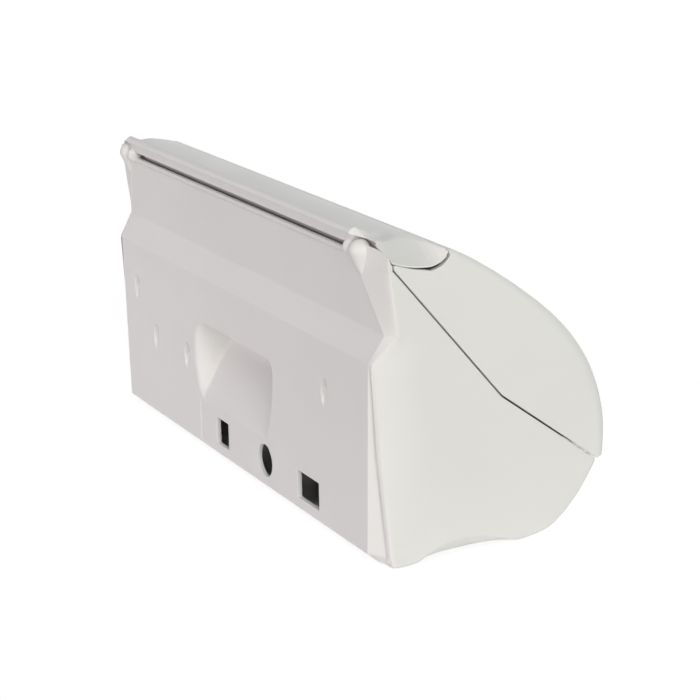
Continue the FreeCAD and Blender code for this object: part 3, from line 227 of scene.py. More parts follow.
def material(name, **constants):
    """A new material's shader with constants on its sockets, and the Object coordinates as a Wire."""
    made = bpy.data.materials.new(name)
    made.use_nodes = True
    shader = made.node_tree.nodes["Principled BSDF"]
    for socket, value in constants.items():
        shader.inputs[socket.replace("_", " ")].default_value = value
    return made, shader, Wire(made.node_tree.nodes.new("ShaderNodeTexCoord").outputs["Object"])


def feed(shader, colour, roughness, height, distance):
    """Drive a shader's colour, roughness and bump, whose height of 0 to 1 stands for a distance."""
    bump = height.node("Bump", {"Height": height, "Distance": distance, "Strength": 1.0})
    for socket, value in (("Base Color", colour), ("Roughness", roughness), ("Normal", bump)):
        shader.id_data.links.new(value.socket, shader.inputs[socket])


# moulded ABS: spark-eroded grain of about 0.4 mm, slow drift of shade where the melt flowed along the
# roll, and a slightly glossier skin on patches that hands have polished
shell, shader, spot = material("shell_abs", IOR=1.5)
grain = spot.noise(2600, 3)
drift = spot.noise(9, 2, (0.4, 1, 1))
handled = spot.noise(34, 3).between(0.42, 0.72)
feed(shader, (drift * 0.8 + grain * 0.2).between(0.3, 0.7).tint((0.775, 0.764, 0.750), (0.815, 0.806, 0.794)),
     0.50 - 0.10 * handled + 0.05 * grain, grain, 1.1e-5)


def panel_edge(z):
    """Half the width of the flat of the rear wall at a height."""
    return np.interp(z, (1, 7, 116.2, waist_height, 173.9), (171.9, 172.1, 176.0, 178.8, 156.6))


def wedge_crease(z):
    """How far from the middle the wedge at each end of the rear wall folds, at a height."""
    return np.interp(z, (1, 7, 112, 116.2, waist_height), (181.5, 181.5, 179.0, 179.4, 181.8))


def drawn_in(x, depth, z):
    """Points placed after the ends are drawn in towards the back, most at the foot of the waist: a shift
    inwards and forwards, times the way from the flat to the end, times (1 - distance / 28)^2 from the
    rear edge."""
    stops = (1, 66, 116, waist_height, 150)
    part = np.clip((abs(x) - panel_edge(z)) / (half_width - panel_edge(z)), 0, 1)
    part = part * np.clip(1 - (depth - np.interp(z, stops, (8.2, 2.4, 0.2, 13.5, 9))) / 28, 0, 1) ** 2
    inward = np.interp(z, stops, (0, 4.7, 6.3, 1.2, 0))
    forward = np.interp(z, stops, (0, 2.2, 3.8, 0.2, 0))
    return place(np.sign(x) * (abs(x) - inward * part), depth + forward * part, z)


def rear_depth(x, z):
    """Depth of the back: sill, panel, waist and leaning top, the wedges that fall away at its ends, the
    shallow field under the scoop, and the lip along its upper edge with a fine groove under it."""
    stops = (1, 7, 112, 116.2, waist_height)
    middle = bend(z, (1, 7, 116.2, waist_height, 173.9), (6.6, 0, 2.2, 11.1, 6.0), 0.6)
    ledge = np.interp(z, stops, (8.9, 7.0, 3.1, 1.5, 12.2))
    end = np.interp(z, stops, (9.5, 7.9, 1.6, 0.5, 13.5))
    below = bend(abs(x), (0, panel_edge(z), wedge_crease(z), 184.7), (middle, middle, ledge, end), 0.6)
    field = np.interp(x, (-48.6, -47.2, 52.6, 53.1), (0, 1, 1, 0))
    field = field * np.interp(z, (8, 9.4, 33, 40), (0, 1, 1, 0))
    lip = np.interp(z, (170.7, 171.0, 171.3, 171.5), (0, 0.45, 0.45, -0.8))
    return np.where(z > waist_height + 0.01, middle, below) + 0.32 * field + lip


def scoop_rim(a, b, grow):
    """Outline of the scoop for a and b in -1 to 1: straight top, round upper corners, bowed far side."""
    z = 61.5 + 26.0 * b + np.where(b > 0, grow, 0.3 * grow) * b
    stops = (35.5, 41, 50, 58, 67, 76, 80, 83, 85.5, 86.8, 87.5)
    near = np.interp(z, stops, (-45, -47.6, -51, -53.6, -55.4, -56.2, -56.2, -55.6, -54.2, -52.6, -50)) - grow
    far = np.interp(z, stops, (52.2, 54.2, 57, 59.2, 60, 58.6, 56.6, 54, 50.5, 47.5, 43)) + 0.6 * grow
    return near + (far - near) * (a + 1) / 2, z


def scoop_depth(a, b):
    """Depth in the scoop: a ramp up to a deep wall, met by steep sides and by a soft bowed one far off."""
    x, z = scoop_rim(a, b, 0)
    ramp = bend(z, (30, 37.2, 70, 90), (0, 0, 21, 21.4), 3.5)
    top = bend(87.5 - z, (-1, 0.1, 9), (0, 0, 130), 0.25)
    near = bend(x - scoop_rim(-1, b, 0)[0], (-1, 0.3, 9), (0, 0, 80), 0.5)
    e = scoop_rim(1, b, 0)[0] - x
    far = 0.12 * e**2 + 0.035 * np.maximum(e - 4, 0) ** 3
    depth = np.maximum(least(least(ramp, far, 5.0), np.minimum(top, near), 1.2), 0)
    return depth * (abs(a) < 1) * (abs(b) < 1)


# each opening: middle, half width and height, corner radius, and the box of grid cells it takes up
ports = ((19.6, 21.2, 8.5, 8.5, 0.6, (6.6, 33.0, 9.4, 33.6)),
         (-42.1, 22.1, 10.0, 10.0, 9.99, (-56.0, -28.0, 9.4, 33.6)),
         (-100.2, 21.45, 13.5, 8.35, 0.6, (-118.0, -82.5, 9.4, 33.6)))
pockets = tuple((x, z, (x - 6.3, x + 6.3, z - 10.4, z + 10.4))
                for x, z in ((152.0, 86.6), (-123.6, 86.6), (121.6, 59.2), (70.6, 59.2)))
scoop = (-60.0, 62.3, 33.6, 93.0)


def around(xs, zs, box):
    """Grid places round a box anticlockwise: x and z, and the same as a and b in -1 to 1."""
    x0, x1, z0, z1 = box
    along = xs[(xs > x0 - 1e-6) & (xs < x1 + 1e-6)]
    up = zs[(zs > z0 - 1e-6) & (zs < z1 + 1e-6)]
    x = np.concatenate([along[:-1], np.full(len(up) - 1, x1), along[:0:-1], np.full(len(up), x0)])
    z = np.concatenate([np.full(len(along) - 1, z0), up[:-1], np.full(len(along) - 1, z1), up[::-1]])
    return x, z, (2 * x - x0 - x1) / (x1 - x0), (2 * z - z0 - z1) / (z1 - z0)


def port_rows(x, z, a, b, port, inside):
    """Rows from a box to a port's rim: a rectangle w by h whose corners are pulled in to a radius r."""
    mid_x, mid_z, wide, tall, radius, _ = port
    rows = [(x, z, 0.0)]
    for out, down in ((0.35, 0.0), (0.1, 0.1), (0.0, 0.35)):
        w, h, r = wide + out, tall + out, radius + out
        p, q = a * w, b * h
        core_p, core_q = np.clip(p, r - w, w - r), np.clip(q, r - h, h - r)
        pull = np.minimum(1, r / np.maximum(np.hypot(p - core_p, q - core_q), 1e-9))
        rows.append((mid_x + core_p + (p - core_p) * pull, mid_z + core_q + (q - core_q) * pull,
                     down * (1 - inside)))
    middle = tuple((near + far) / 2 for near, far in zip(rows[0], rows[1]))
    return rows[:1] + [middle] + rows[1:]


def pocket_rows(x, z, a, b, pocket, inside):
    """Rows from a box over the rim of an oval screw pocket to its middle, deepening from nothing at the
    lower end to almost 6 mm under the upper one."""
    mid_x, mid_z, _ = pocket
    turn = np.arctan2(a, b)
    wide, tall = 4.7 + 0.8 * inside, 8.8 + 0.8 * inside
    rim_x, rim_z = wide * np.sin(turn), tall * np.cos(turn)
    rows = [(x, z, 0.0), ((x + mid_x + rim_x) / 2, (z + mid_z + rim_z) / 2, 0.0)]
    for t in (1, 0.985, 0.96, 0.92, 0.86, 0.78, 0.66, 0.5, 0.33, 0.16, 0.0):
        down = least(2.9 * (rim_z * t / tall + 1), 3.2 * wide * (1 - t), 0.6) * (t < 1)
        rows.append((mid_x + rim_x * t, mid_z + rim_z * t, np.maximum(down, 0)))
    return rows


def rear_skin(inside):
    """Patches of the back's outer skin, or of the inner one, which lies a wall's thickness further in."""
    xs = spread((-160, -129.9, -118, -117.3, -82.5, -60, -56, -48.6, -47.2, -28, 6.6, 33, 44, 52.6, 53.1,
                 62.3, 64.3, 76.9, 115.3, 127.9, 145.7, 158.3, 160),
                (4, 1, 0.7, 1.5, 3, 1, 1.5, 0.7, 1.5, 1.6, 1.5, 1.4, 0.9, 0.25, 0.9, 1, 0.9, 4, 1, 4, 1, 1.7))
    zs = spread((1, 5.6, 8.4, 9.4, 33.6, 48.8, 69.6, 76.2, 93, 97, 113.6, 117.6, 129.6, waist_height),
                (2.3, 0.4, 1, 1.4, 1.4, 1.05, 1.1, 1.05, 1, 4, 0.4, 3, 0.4))[:, None]
    tops = spread((waist_height, 133, 169.5, 170.7, 171.5, 173.3, 173.9),
                  (0.45, 4.2, 0.4, 0.1, 0.6, 0.12))[:, None]
    near = np.array([-0.6, -0.3, 0, 0.3, 0.6])
    patches = []

    def add(x, z, extra=0.0, kept=True):
        edge = rounding(173.9 - z, 0.6) + np.where(z < waist_height + 0.01, rounding(184.7 - abs(x), 0.5), 0)
        depth = rear_depth(x, z) + extra + (wall_thickness if inside else edge)
        patches.append((drawn_in(x, depth, z), kept))

    edge = panel_edge(zs)
    crease = wedge_crease(zs)
    flank = np.concatenate([160 + (edge - 160.6) * np.array([0.4, 0.75]), edge + near, (edge + crease) / 2,
                            crease + near, 0 * zs + np.array([184.2, 184.4, 184.6, 184.7])], axis=1)
    field = np.concatenate([-flank[:, ::-1], np.broadcast_to(xs, (len(zs), len(xs))), flank], axis=1)
    kept = np.ones((len(zs) - 1, field.shape[1] - 1), bool)
    mid_x, mid_z = (field[0, 1:] + field[0, :-1]) / 2, (zs[1:] + zs[:-1]) / 2
    for x0, x1, z0, z1 in [thing[-1] for thing in ports + pockets] + [scoop]:
        kept &= ~((mid_x > x0) & (mid_x < x1) & (mid_z > z0) & (mid_z < z1))
    add(field, zs, 0.0, kept)

    add(field[-1, abs(field[-1]) < 178.81] * panel_edge(tops) / 178.8, tops)

    for things, rows in ((ports, port_rows), (pockets, pocket_rows)):
        for thing in things:
            grid = [np.stack(np.broadcast_arrays(*row)) for row in
                    rows(*around(xs, zs[:, 0], thing[-1]), thing, inside)]
            add(*np.stack(grid, axis=1))

    x, z, a, b = around(xs, zs[:, 0], scoop)
    a, b = (np.sign(t) * (1 - np.maximum(1 - abs(t), 0) ** 1.7) for t in (a, b))
    rim = scoop_rim(a, b, 2.0 * inside)
    t = np.array([0, 0.35, 0.7, 1])[:, None]
    add(x + (rim[0] - x) * t, z + (rim[1] - z) * t)
    side_a, side_b = np.unique(np.round(a, 9)), np.unique(np.round(b, 9))[:, None]
    x, z = scoop_rim(side_a, side_b, 2.0 * inside)
    add(x, np.broadcast_to(z, x.shape), scoop_depth(side_a, side_b))
    return patches


# flange that the tray's screws go up into, a plain strip behind the sill
strip = np.array([(6.8, 3.7), (17.6, 3.7), (18.0, 4.1), (18.0, 5.8), (17.6, 6.2), (6.8, 6.2)])
ribs = loft(strip, np.array([-183.8, -183.4, 183.4, 183.8]), np.array([0.3, 0, 0, 0.3]))
back = piece("rear_wall", "base", [skin(rear_skin(0), rear_skin(1)), ribs])
back.data.materials.append(shell)
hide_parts("rear_panel", "upper_panel", "scoop_shell")

# ---------------------------------------------------------------- end cheeks
# The two ends of the base, mirror images in off-white ABS: a flat face with a scalloped foot, a facet up
# to the leaning back, and the round hinge ear at its top. Each is welded to the tray and the back.


def eased(corners, rounds=3):
    """Corners cut off over and over at a quarter of each side, which tends to a smooth curve."""
    line = np.array(corners, float)
    for _ in range(rounds):
        near, far = 0.75 * line[:-1] + 0.25 * line[1:], 0.25 * line[:-1] + 0.75 * line[1:]
        line = np.concatenate([line[:1], np.stack([near, far], axis=1).reshape(-1, 2)[1:-1], line[-1:]])
    return line


def walk(line, t):
    """Points of a line of depths and heights at fractions t of its length."""
    length = np.concatenate([[0], np.hypot(*np.diff(line, axis=0).T).cumsum()])
    return np.stack([np.interp(t * length[-1], length, side) for side in line.T], axis=-1)


def gap(points, line):
    """Distance from each point to the nearest place of a line."""
    start, step = line[:-1], np.diff(line, axis=0)
    away = points[..., None, :] - start
    t = np.clip((away * step).sum(axis=-1) / (step**2).sum(axis=-1), 0, 1)
    return np.linalg.norm(away - t[..., None] * step, axis=-1).min(axis=-1)


def end_face(depth, z):
    """Half the width at the end faces, which are very slightly domed."""
    return half_width - 0.35 * ((depth - 78) / 70) ** 2 - 0.35 * ((z - 85) / 90) ** 2


foot = eased([(8.2, 1.0), (12.0, 0.5), (16.6, 0.3), (30.0, 1.9), (43.6, 3.3), (57.3, 3.1), (71.2, 2.6),
              (88.7, 0.5), (99.3, 1.6), (109.5, 3.8), (118.5, 10.5), (125.9, 17.7), (133.4, 27.2),
              (140.0, 37.6), (140.3, 38.8)])
seam = np.array([(5.0, 170.2), (13.6, 167.4), (42.736, waist_height), (77.9, 87.5), (140.3, 38.8)])
hem = np.array([(8.2, 1.0), (6.6, 7.0), (2.4, 66.0), (0.2, 116.0), (13.5, waist_height)])
facet_foot, facet_top = (11.1, waist_height), (5.0, 170.2)
arch = ((23, 30.2, 37, 43.8, 53, 63.2, 71.3, 78.2, 84, 88.7),
        (1.0, 5.6, 8.3, 10, 11.1, 9.9, 7.5, 4.8, 2.3, 0.4))
hinge = next(joint for joint in frame["record"]["behaviour"]["joints"] if joint["name"] == "lid_hinge")
hinge_depth = round(rear_plane - 1000 * hinge["pos_m"][1], 1)
hinge_height = round(1000 * hinge["pos_m"][2], 1)


def cheek_patch(side, low, high, rear, u, w, faceted):
    """Outer and inner grid of a part of a cheek: rows from its low line to its high one at fractions w,
    bent to its rear line, with the facet that leans in to the back only where it is faceted."""
    start, end, back = walk(low, u[0]), walk(high, u[1]), walk(rear, w)[:, None]
    w = w[:, None, None]
    straight = start[:1] + (end[:1] - start[:1]) * w
    at = start + (end - start) * w + (back - straight) * np.linspace(1, 0, len(u[0]))[:, None] ** 5
    depth, z = at[..., 0], at[..., 1]
    heights = (facet_foot[1], facet_top[1])
    crease = np.interp(z, heights, (facet_foot[0], facet_top[0]))
    slope = (half_width - panel_edge(z)) / (np.interp(z, heights, (14.5, 10.4)) - crease)
    facet = panel_edge(z) + slope * (depth - crease) + 99 * (1 - faceted)
    rise = np.clip(z / np.interp(depth, *arch), 0, 1)
    tuck = 6.5 * np.where((depth > 23) & (depth < 88.7), (1 - rise) ** 1.3, 0)
    bound = rounding(gap(at, hem), 2.2) * (1 - faceted) + rounding(gap(at, seam[1:]), 0.6)
    x = least(end_face(depth, z), facet, 6.0) - tuck - bound - rounding(gap(at, foot), 2.6)
    lean = np.clip((184.5 - x) / 2, 0, 1) * faceted
    inner_x = np.minimum(half_width - wall_thickness, x - wall_thickness * (1 - lean))
    inner = drawn_in(side * inner_x, depth + wall_thickness * lean, z)
    return drawn_in(side * x, depth, z), inner


def cheek_skin(side):
    """The cheek's patches: the lower one up to the height of the waist, and the faceted one over it."""
    shelf = spread((0, 0.1, 0.35, 1), (0.012, 0.02, 0.03))
    upper_edge = np.concatenate([hem[-1:], seam[2:]])
    lengths = np.linalg.norm(np.diff(upper_edge, axis=0), axis=1)
    corner = lengths[0] / lengths.sum()
    waist = np.array([facet_foot, hem[-1], seam[2]])
    front = spread((0, 0.4, 0.97, 1), (0.012, 0.014, 0.003))[1:]
    top = np.concatenate([corner * shelf, corner + (1 - corner) * front])
    bottom = spread((0, 0.01, 0.03, 1), (0.0018, 0.004, 1 / (len(top) - 11)))
    bottom = np.interp(np.linspace(0, 1, len(top)), np.linspace(0, 1, len(bottom)), bottom)
    up = spread((0, 0.004, 0.02, 0.1, 0.9, 0.99, 1.0), (0.0012, 0.0026, 0.0055, 0.02, 0.01, 0.0025))
    lower = cheek_patch(side, foot, upper_edge, hem, (bottom, top), up, 0)
    inset = 2.4 / (seam[2, 0] - facet_foot[0])
    across = np.concatenate([spread((0, inset), (inset / 6,))[:-1], inset + (1 - inset) * shelf])
    upper = cheek_patch(side, waist, seam[:3], np.array([waist[0], seam[0]]), (across, across),
                        spread((0, 0.06, 0.95, 1.0), (0.012, 0.03, 0.008)), 1)
    return [(lower[0],), (upper[0],)], [(lower[1],), (upper[1],)]


def ear(side):
    """The hinge ear: a ball of 6 mm on a cone that runs out on the facet, cut flat towards the middle."""
    ball = hinge_height + 6 * np.sin(np.linspace(-0.42, 1.57, 18))
    z = np.concatenate([np.linspace(160.5, 172.6, 14), ball])
    radius = np.where(z < 173.1, 5.48 * np.clip((z - 160.5) / 12.6, 0, 1) ** 0.8,
                      np.sqrt(np.maximum(36 - (z - hinge_height) ** 2, 0)))[:, None]
    turn = np.linspace(0, 2 * math.pi, 49)[:-1]
    depth = np.interp(z, (160.5, hinge_height), (7.6, hinge_depth))[:, None] - radius * np.cos(turn)
    return tube(place(side * np.maximum(163.4 + radius * np.sin(turn), 157.4), depth, z[:, None]))


def shoulder(side):
    """The cheek's top behind the bar's end: its back is the facet, D = 5 + (x - 158.5) / 5.37, and its top
    keeps 3.9 mm from the hinge axis and 1.1 mm under the bar's slanted back, z = 182 - 2.196 (D - 8)."""
    x = np.linspace(158.2, 186.9, 25)[:, None]
    depth = 12.9 + (5 + (x - 158.5) / 5.37 - 12.9) * np.linspace(1, 0, 19)
    barrel = hinge_height + np.sqrt(np.maximum(15.2 - (depth - hinge_depth) ** 2, 0))
    top = np.minimum(barrel, 180.9 - 2.196 * (depth - 8))
    under = np.interp(depth, (5, 13.6), (169.0, 166.2))
    loop = np.concatenate([depth, depth[:, ::-1]], 1), np.concatenate([top, under[:, ::-1]], 1)
    return tube(place(side * x, *loop))


for side, name in ((-1, "left"), (1, "right")):
    cheek = piece(name + "_cheek", "base", [skin(*cheek_skin(side)), ear(side), shoulder(side)])
    cheek.data.materials.append(shell)
    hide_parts(name + "_end_cheek")

# ---------------------------------------------------------------- lid cover
# The curved cover that swings up over the film, one off-white moulding with an end wall each side. Its
# ends roll over to flat faces flush with the cheeks, and a cradle in each carries the top bar's end.
profile = eased([(144.9, 40.3), (146.2, 55.3), (145.2, 68.6), (142.5, 80.6), (137.2, 94.9), (131.9, 104.9),
                 (121.4, 119.7), (105.9, 135.3), (85.7, 151.5), (65.8, 165.4), (51.3, 173.8), (47.5, 175.2)])
end_line = eased([(140.9, 40.1), (140.9, 47.4), (140.3, 62.4), (136.9, 77.8), (129.0, 96.7), (116.0, 116.3),
                  (96.8, 136.4), (78.0, 152.8), (65.6, 160.8), (50.4, 169.7), (47.6, 171.6)])
rim = np.concatenate([[(140.7, 39.6), (78.4, 88.3), (14.1, 168.1), (13.6, 170.6)],
                      eased([(13.8, 171.0), (21.3, 168.1), (27.0, 166.9), (30.0, 165.0), (34.5, 164.3),
                             (41.2, 165.6), (45.3, 168.2), (47.4, 170.8)])])


def lid_skin():
    """Outer and inner patch of the cover: rows from its front edge to its rear one, columns from the seam
    over one shoulder, along the roll and down the other end."""
    length = np.concatenate([[0], np.hypot(*np.diff(rim, axis=0).T).cumsum()])
    knots = np.array([0, length[1], length[2], length[3], length[-1]]) / length[-1]
    t = spread((0, 0.012, 1, 1.97, 2, 2.03, 3), (0.003, 0.045, 0.03, 0.01, 0.01, 0.035))
    at_rim = walk(rim, np.interp(t, (0, 1, 2, 2.03, 3), knots))
    at_side = walk(end_line, np.interp(t, (0, 1, 2, 3), (0, 0.40, 0.72, 1)))
    at_top = walk(profile, np.interp(t, (0, 1, 2, 3), (0, 0.42, 0.73, 1)))
    way = np.gradient(at_top, axis=0)
    inward = np.stack([-way[:, 1], way[:, 0]], axis=-1) / np.hypot(*way.T)[:, None]

    s = np.array([0, 0.15, 0.4, 0.75, 1.3, 3, 8, 16, 26])
    reach = np.hypot(*(at_side - at_rim).T)[:, None]
    share = np.minimum(s * np.minimum(1, reach / 30) / np.maximum(reach, 1e-9), 1)
    share = np.concatenate([share, share[:, -1:] + (1 - share[:, -1:]) * np.array([0.33, 0.66, 1.0])], axis=1)
    wall = at_rim[:, None] + (at_side - at_rim)[:, None] * share[..., None]
    wall_x = end_face(wall[..., 0], wall[..., 1]) - rounding(gap(wall, rim), 0.6)

    turn = np.linspace(math.pi / 2, 0, 12)[1:]
    roll = at_top[:, None] + (at_side - at_top)[:, None] * (1 - np.cos(turn))[:, None]
    roll_x = wall_x[:, -1:] - 2.4 * (1 - np.sin(turn))
    flat = np.linspace(1, -1, 47)[1:-1]

    side = np.concatenate([wall, roll], axis=1)
    side_x = np.concatenate([wall_x, roll_x], axis=1)
    bend_in = np.concatenate([np.zeros(share.shape[1]), np.cos(turn)])
    across = np.concatenate([side_x, side_x[:, -1:] * flat, -side_x[:, ::-1]], axis=1)
    spine = np.broadcast_to(at_top[:, None], (len(t), len(flat), 2))
    section = np.concatenate([side, spine, side[:, ::-1]], axis=1)
    bend_in = np.concatenate([bend_in, np.ones(len(flat)), bend_in[::-1]])
    edge = rounding(np.minimum(t, 3 - t)[:, None] * 58, 0.7) * bend_in
    outer = section + inward[:, None] * edge[..., None]
    inner = section + wall_thickness * inward[:, None] * bend_in[:, None]
    depth_in = np.sqrt(np.clip(1 - bend_in**2, 0, 1))
    return (place(across, outer[..., 0], outer[..., 1]),
            place(across - wall_thickness * depth_in * np.sign(across), inner[..., 0], inner[..., 1]))


outer, inner = lid_skin()
cover = piece("lid_shell", "lid", [skin([(outer,)], [(inner,)])])
cover.data.materials.append(shell)
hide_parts("lid_cover")

# ---------------------------------------------------------------- top bar
# The bar along the lid's rear edge, off-white ABS screwed to the cover: a shallow arch with a lip and a
# strip along its back, a bevelled face at each end, and the balls that turn on the hinge pins.


def bar_low(depth):
    """Height of the bar's underside: its sloping back, then a shallow bowl up to its front edge."""
    return np.interp(depth, (8.0, 12.6, 17, 21.3, 26.1, 30.5, 35.1, 38.5, 41.9, 45, 46.3),
                     (182.0, 171.9, 170.2, 168.9, 167.9, 167.3, 167.0, 167.5, 168.8, 171.0, 174.0))


def bar_top(depth):
    """Height of the bar's upper side between the foot of its lip and its front edge."""
    return np.interp(depth, (4.8, 9, 13.5, 17, 21, 26, 30, 34, 38, 42, 44.5, 45.8, 46.3),
                     (182.6, 183.4, 183.3, 182.95, 182.45, 181.6, 180.8, 179.8, 178.6, 177.2, 176.1,
                      175.3, 174.4))


# the back of the bar from the lip's foot round to the underside, at places along the roll: with lip and
# strip, then hollowed over the ear while the lip sweeps down, then plain
lip = [(13.5, 183.3), (10.6, 184.5), (8.3, 186.0), (6.8, 187.1), (5.9, 187.1), (3.4, 186.0), (2.6, 184.3),
       (3.2, 183.2), (5.5, 182.8), (5.2, 182.3), (5.0, 178.4), (5.9, 177.2), (7.6, 177.1), (9.8, 179.6),
       (12.6, 171.9)]
over = lip[:8] + [(5.2, 182.7), (7.0, 182.2), (9.0, 181.9), (10.8, 181.2), (12.8, 178.6), (13.3, 175.0),
                  (12.6, 171.9)]
low = [(13.5, 183.3), (12.6, 183.35), (11.8, 183.3), (11.0, 183.1), (10.4, 182.9), (9.9, 182.6),
       (9.5, 182.3), (9.3, 182.0), (9.3, 181.9), (9.7, 181.7), (10.3, 181.4), (11.0, 181.0)] + over[12:]
plain = low[:4] + [(9.8, 182.9), (9.0, 182.6), (8.4, 182.3), (8.0, 182.0), (8.6, 180.6), (9.2, 179.4),
                   (9.8, 178.1), (10.4, 176.7), (11.1, 175.2), (11.8, 173.7), (12.6, 171.9)]


def bar_body():
    """The bar as rings from one end to the other: underside, crown, back. The crown dips beside the ears.
    A bevel at each end cuts the height down to a plane that starts a little over the end's underside and
    rises 0.74 for each millimetre inwards."""
    sweep = np.array([0, 0.12, 0.25, 0.4, 0.6, 0.8, 1.0])
    knots = np.concatenate([[0, 157.2, 157.3], 158.3 + 16.7 * sweep, [176.5, 176.6, 190]])
    fall = (1 - sweep[:, None, None]) ** 4
    swept = np.array(low) + (np.array(over) - low) * fall
    backs = np.concatenate([[lip, lip, over], swept, [low, plain, plain]])
    half = spread((0, 150, 157.2, 157.3, 158.3, 176.5, 176.6, half_width),
                  (7.5, 1.8, 0.1, 0.5, 0.55, 0.1, 0.45))
    across = np.concatenate([-half[:0:-1], half])
    count = len(lip)
    rear = np.stack([eased(np.stack([np.interp(x, knots, backs[:, i, j]) for i in range(count)
                                     for j in (0, 1)]).reshape(count, 2), 2) for x in abs(across)])
    bowl = np.linspace(12.6, 46.3, 44)
    hollow = 1 / (1 + np.exp(np.clip((abs(across[:, None]) - 160) * 4, -50, 50)))
    wall = np.interp(bowl, (16.3, 16.5, 41.5, 41.7), (0, 1, 1, 0)) * hollow
    under = bar_low(bowl) + (bar_top(bowl) - wall_thickness - bar_low(bowl)) * wall
    crown = np.linspace(46.3, 13.5, 52)
    upper, behind = len(bowl), len(bowl) + len(crown)
    shape = (len(across), 1)
    depth = np.concatenate([np.tile(bowl, shape), np.tile(crown, shape), rear[..., 0]], axis=1)
    z = np.concatenate([under, np.tile(bar_top(crown), shape), rear[..., 1]], axis=1)
    bevel = bar_low(np.maximum(depth, 12.6)) + 0.9 + (half_width - abs(across[:, None])) * 0.74
    dip = np.interp(abs(across), (158.5, 163, 172, half_width), (0, 2.2, 2.0, 1.0))[:, None]
    dip = dip * np.interp(depth, (9, 13.6, 17, 28), (0, 1, 1, 0)) * np.clip((z - 181.5) / 1.2, 0, 1)
    z[:, upper:] -= dip[:, upper:]
    z[:, upper:] = least(z, bevel, 0.8)[:, upper:]
    z[:, behind:] = np.maximum(z[:, behind:], 171.9)
    slant = np.where(abs(across[:, None]) > 176.55, 8 + (182 - z) * 0.455, 0)
    depth[:, behind:] = np.maximum(depth, slant)[:, behind:]
    return tube(place(across[:, None], depth, z))


def knuckle(side):
    """A ball of the hinge beside the ear, a little flattened along the roll."""
    turn, up = np.meshgrid(np.linspace(0, 2 * math.pi, 41)[:-1], np.linspace(-math.pi / 2, math.pi / 2, 27))
    radius = 4.75 * np.cos(up)
    return tube(place(side * (153.2 + 3.75 * np.sin(up)), hinge_depth + radius * np.cos(turn),
                      hinge_height + radius * np.sin(turn)))


bar = piece("lid_bar", "lid", [bar_body(), knuckle(-1), knuckle(1)])
bar.data.materials.append(shell)
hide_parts("top_bar")

# ---------------------------------------------------------------- inner mouldings
# Tray, film bed, blade carrier and brackets keep their solids: the tray in the shell's ABS, the others in
# plain ABS a little greyer than the shell, with faint ejector-side flow marks along the roll. Hubs and roller
# are smooth self-lubricating acetal.


def dress(made, *names):
    """Put a material on every slot of the frame's nodes with these names."""
    for name in names:
        for slot in frame["nodes"][name].material_slots:
            slot.material = made


inner_abs, shader, spot = material("inner_abs", IOR=1.5)
grain = spot.noise(2200, 3)
flow = spot.noise(26, 3, (0.12, 1, 1))
feed(shader, (flow * 0.7 + grain * 0.3).between(0.3, 0.7).tint((0.665, 0.664, 0.655), (0.725, 0.724, 0.716)),
     0.46 + 0.12 * flow, grain, 1.0e-5)
dress(inner_abs, "left_hub_bracket", "right_hub_bracket", "left_guide_bracket", "right_guide_bracket",
      "film_bed", "blade_carrier")
dress(shell, "base_tray")

acetal, shader, spot = material("hub_acetal", IOR=1.48, Coat_Weight=0.15, Coat_Roughness=0.25)
tooling = spot.noise(900, 2, (4, 0.3, 0.3))
drift = spot.noise(40, 2)
feed(shader, drift.tint((0.515, 0.525, 0.535), (0.585, 0.595, 0.605)), 0.30 + 0.12 * tooling, tooling, 4e-6)
dress(acetal, "left_core_hub", "right_core_hub", "guide_roller")

# ---------------------------------------------------------------- metal parts
# Pins, axles, clips, spring and screws are drawn or stamped stainless steel with fine turning marks; the
# cutter is a thin hardened strip ground across its length, and its clamp is brushed along it.
steel, shader, spot = material("turned_steel", Metallic=1.0)
marks = spot.noise(5200, 2, (1, 0.04, 0.04))
smear = spot.noise(60, 3)
feed(shader, smear.tint((0.56, 0.56, 0.57), (0.67, 0.67, 0.68)),
     0.20 + 0.16 * marks + 0.08 * smear, marks, 2e-6)
dress(steel, "left_hinge_pin", "right_hinge_pin", "left_axle_clip", "right_axle_clip", "right_hub_axle",
      "left_plunger_axle", "thrust_washer", "plunger_spring", "base_screws", "lid_screws")

ground, shader, spot = material("ground_steel", Metallic=1.0)
marks = spot.noise(6500, 2, (0.03, 1, 1))
stain = spot.noise(45, 3).between(0.35, 0.75)
feed(shader, stain.tint((0.74, 0.74, 0.75), (0.64, 0.64, 0.645)),
     0.16 + 0.18 * marks + 0.06 * stain, marks, 2e-6)
dress(ground, "blade_clamp", "cutter_blade")

# ---------------------------------------------------------------- rubber parts
# Grip strips and press pad are soft grey thermoplastic rubber, the feet a harder dark one; both are matt
# from a coarse mould grain, and paler where dust and wear have dulled them.
for name, scale, dark, light, nodes in (
        ("grip_rubber", 1500, (0.165, 0.165, 0.175), (0.235, 0.235, 0.245),
         ("rear_grip_strip", "front_grip_strip", "press_pad")),
        ("foot_rubber", 1100, (0.075, 0.075, 0.077), (0.13, 0.13, 0.132),
         ("rear_left_foot", "rear_right_foot", "front_left_foot", "front_right_foot"))):
    rubber, shader, spot = material(name, IOR=1.52)
    grain = spot.noise(scale, 4)
    dust = spot.noise(70, 4).between(0.4, 0.75)
    feed(shader, (dust * 0.75 + grain * 0.25).tint(dark, light), 0.72 + 0.16 * dust, grain, 3e-5)
    dress(rubber, *nodes)

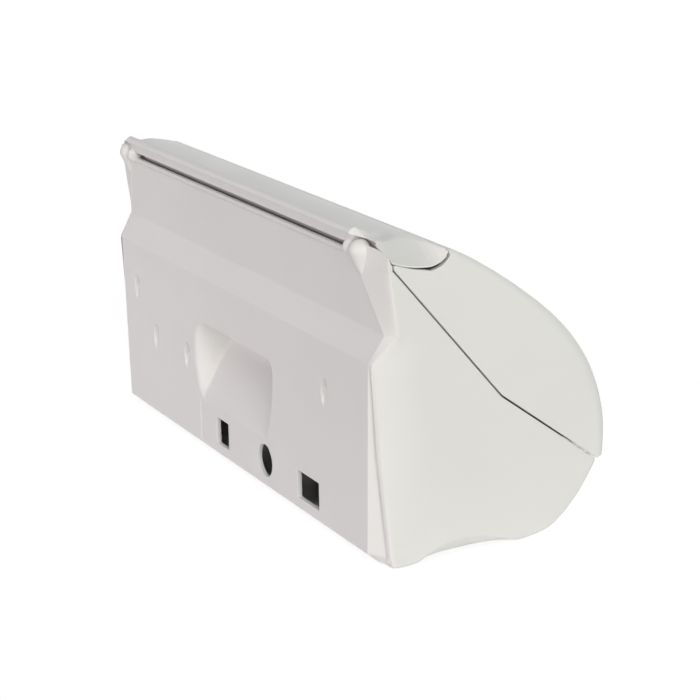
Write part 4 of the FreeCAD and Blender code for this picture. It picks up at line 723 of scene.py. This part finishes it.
# ---------------------------------------------------------------- camera, light and floor
# A long lens behind the left end; a soft key light on that end, weaker ones on the back, from above and
# on the far side, an even dim surround, and a white floor that keeps the object's soft shadow.
scene = bpy.context.scene
scene.view_settings.view_transform = "Standard"
camera = bpy.data.objects.new("camera", bpy.data.cameras.new("camera"))
camera.data.lens = 108.0
camera.data.sensor_width = 36.0
along = Vector((-0.4633, -0.8855, -0.0353)).normalized()
away = -Vector((0.8534, -0.435, -0.2872)).normalized()
upward = away.cross(along).normalized()
along = upward.cross(away).normalized()
camera.matrix_world = Matrix((
    (along.x, upward.x, away.x, -1.1214),
    (along.y, upward.y, away.y, 0.5630),
    (along.z, upward.z, away.z, 0.4441),
    (0, 0, 0, 1),
))
scene.collection.objects.link(camera)
scene.camera = camera

for name, energy, tint, toward in (
        ("key", 1.58, (0.98, 1.0, 0.915), (-1.0, 0.15, 0.25)),
        ("back", 0.86, (1.0, 0.875, 0.93), (-0.25, 1.0, 0.25)),
        ("over", 0.50, (0.92, 0.97, 1.0), (-0.2, 0.35, 1.0)),
        ("fill", 1.9, (0.97, 0.98, 1.0), (0.5, -0.87, 0.12))):
    light = bpy.data.objects.new(name, bpy.data.lights.new(name, "SUN"))
    light.data.energy = energy
    light.data.color = tint
    light.data.angle = 0.6
    light.visible_glossy = name in ("back", "over")
    light.matrix_world = Vector(toward).to_track_quat("Z", "Y").to_matrix().to_4x4()
    scene.collection.objects.link(light)


def unseen(tree):
    """1 for rays that show a background, straight from the camera or by gloss or glass, and 0 for light."""
    path = tree.nodes.new("ShaderNodeLightPath")
    seen = Wire(path.outputs["Is Camera Ray"])
    for kind in ("Is Glossy Ray", "Is Transmission Ray"):
        seen = seen.sum("MAXIMUM", seen, Wire(path.outputs[kind]))
    return seen


world = bpy.data.worlds.new("surround")
scene.world = world
world.use_nodes = True
world.node_tree.nodes.clear()
seen = unseen(world.node_tree)
dim = seen.node("Background", {"Color": (1.0, 1.0, 1.0, 1), "Strength": 0.18})
white = seen.node("Background", {"Color": (1, 1, 1, 1), "Strength": 1.0})
both = seen.node("MixShader", {0: seen, 1: dim, 2: white})
both.node("OutputWorld", {"Surface": both}, None)

mesh = bpy.data.meshes.new("floor")
mesh.from_pydata([(-6, -6, 0), (6, -6, 0), (6, 6, 0), (-6, 6, 0)], [], [(0, 1, 2, 3)])
floor = bpy.data.objects.new("floor", mesh)
scene.collection.objects.link(floor)
paper = bpy.data.materials.new("paper")
paper.use_nodes = True
paper.node_tree.nodes.clear()
seen = unseen(paper.node_tree)
matt = seen.node("BsdfDiffuse", {"Color": (0.9, 0.9, 0.9, 1)})
glow = seen.node("Emission", {"Color": (1, 1, 1, 1), "Strength": 1.36})
blend = seen.node("MixShader", {0: seen * 0.6, 1: matt, 2: glow})
blend.node("OutputMaterial", {"Surface": blend}, None)
mesh.materials.append(paper)
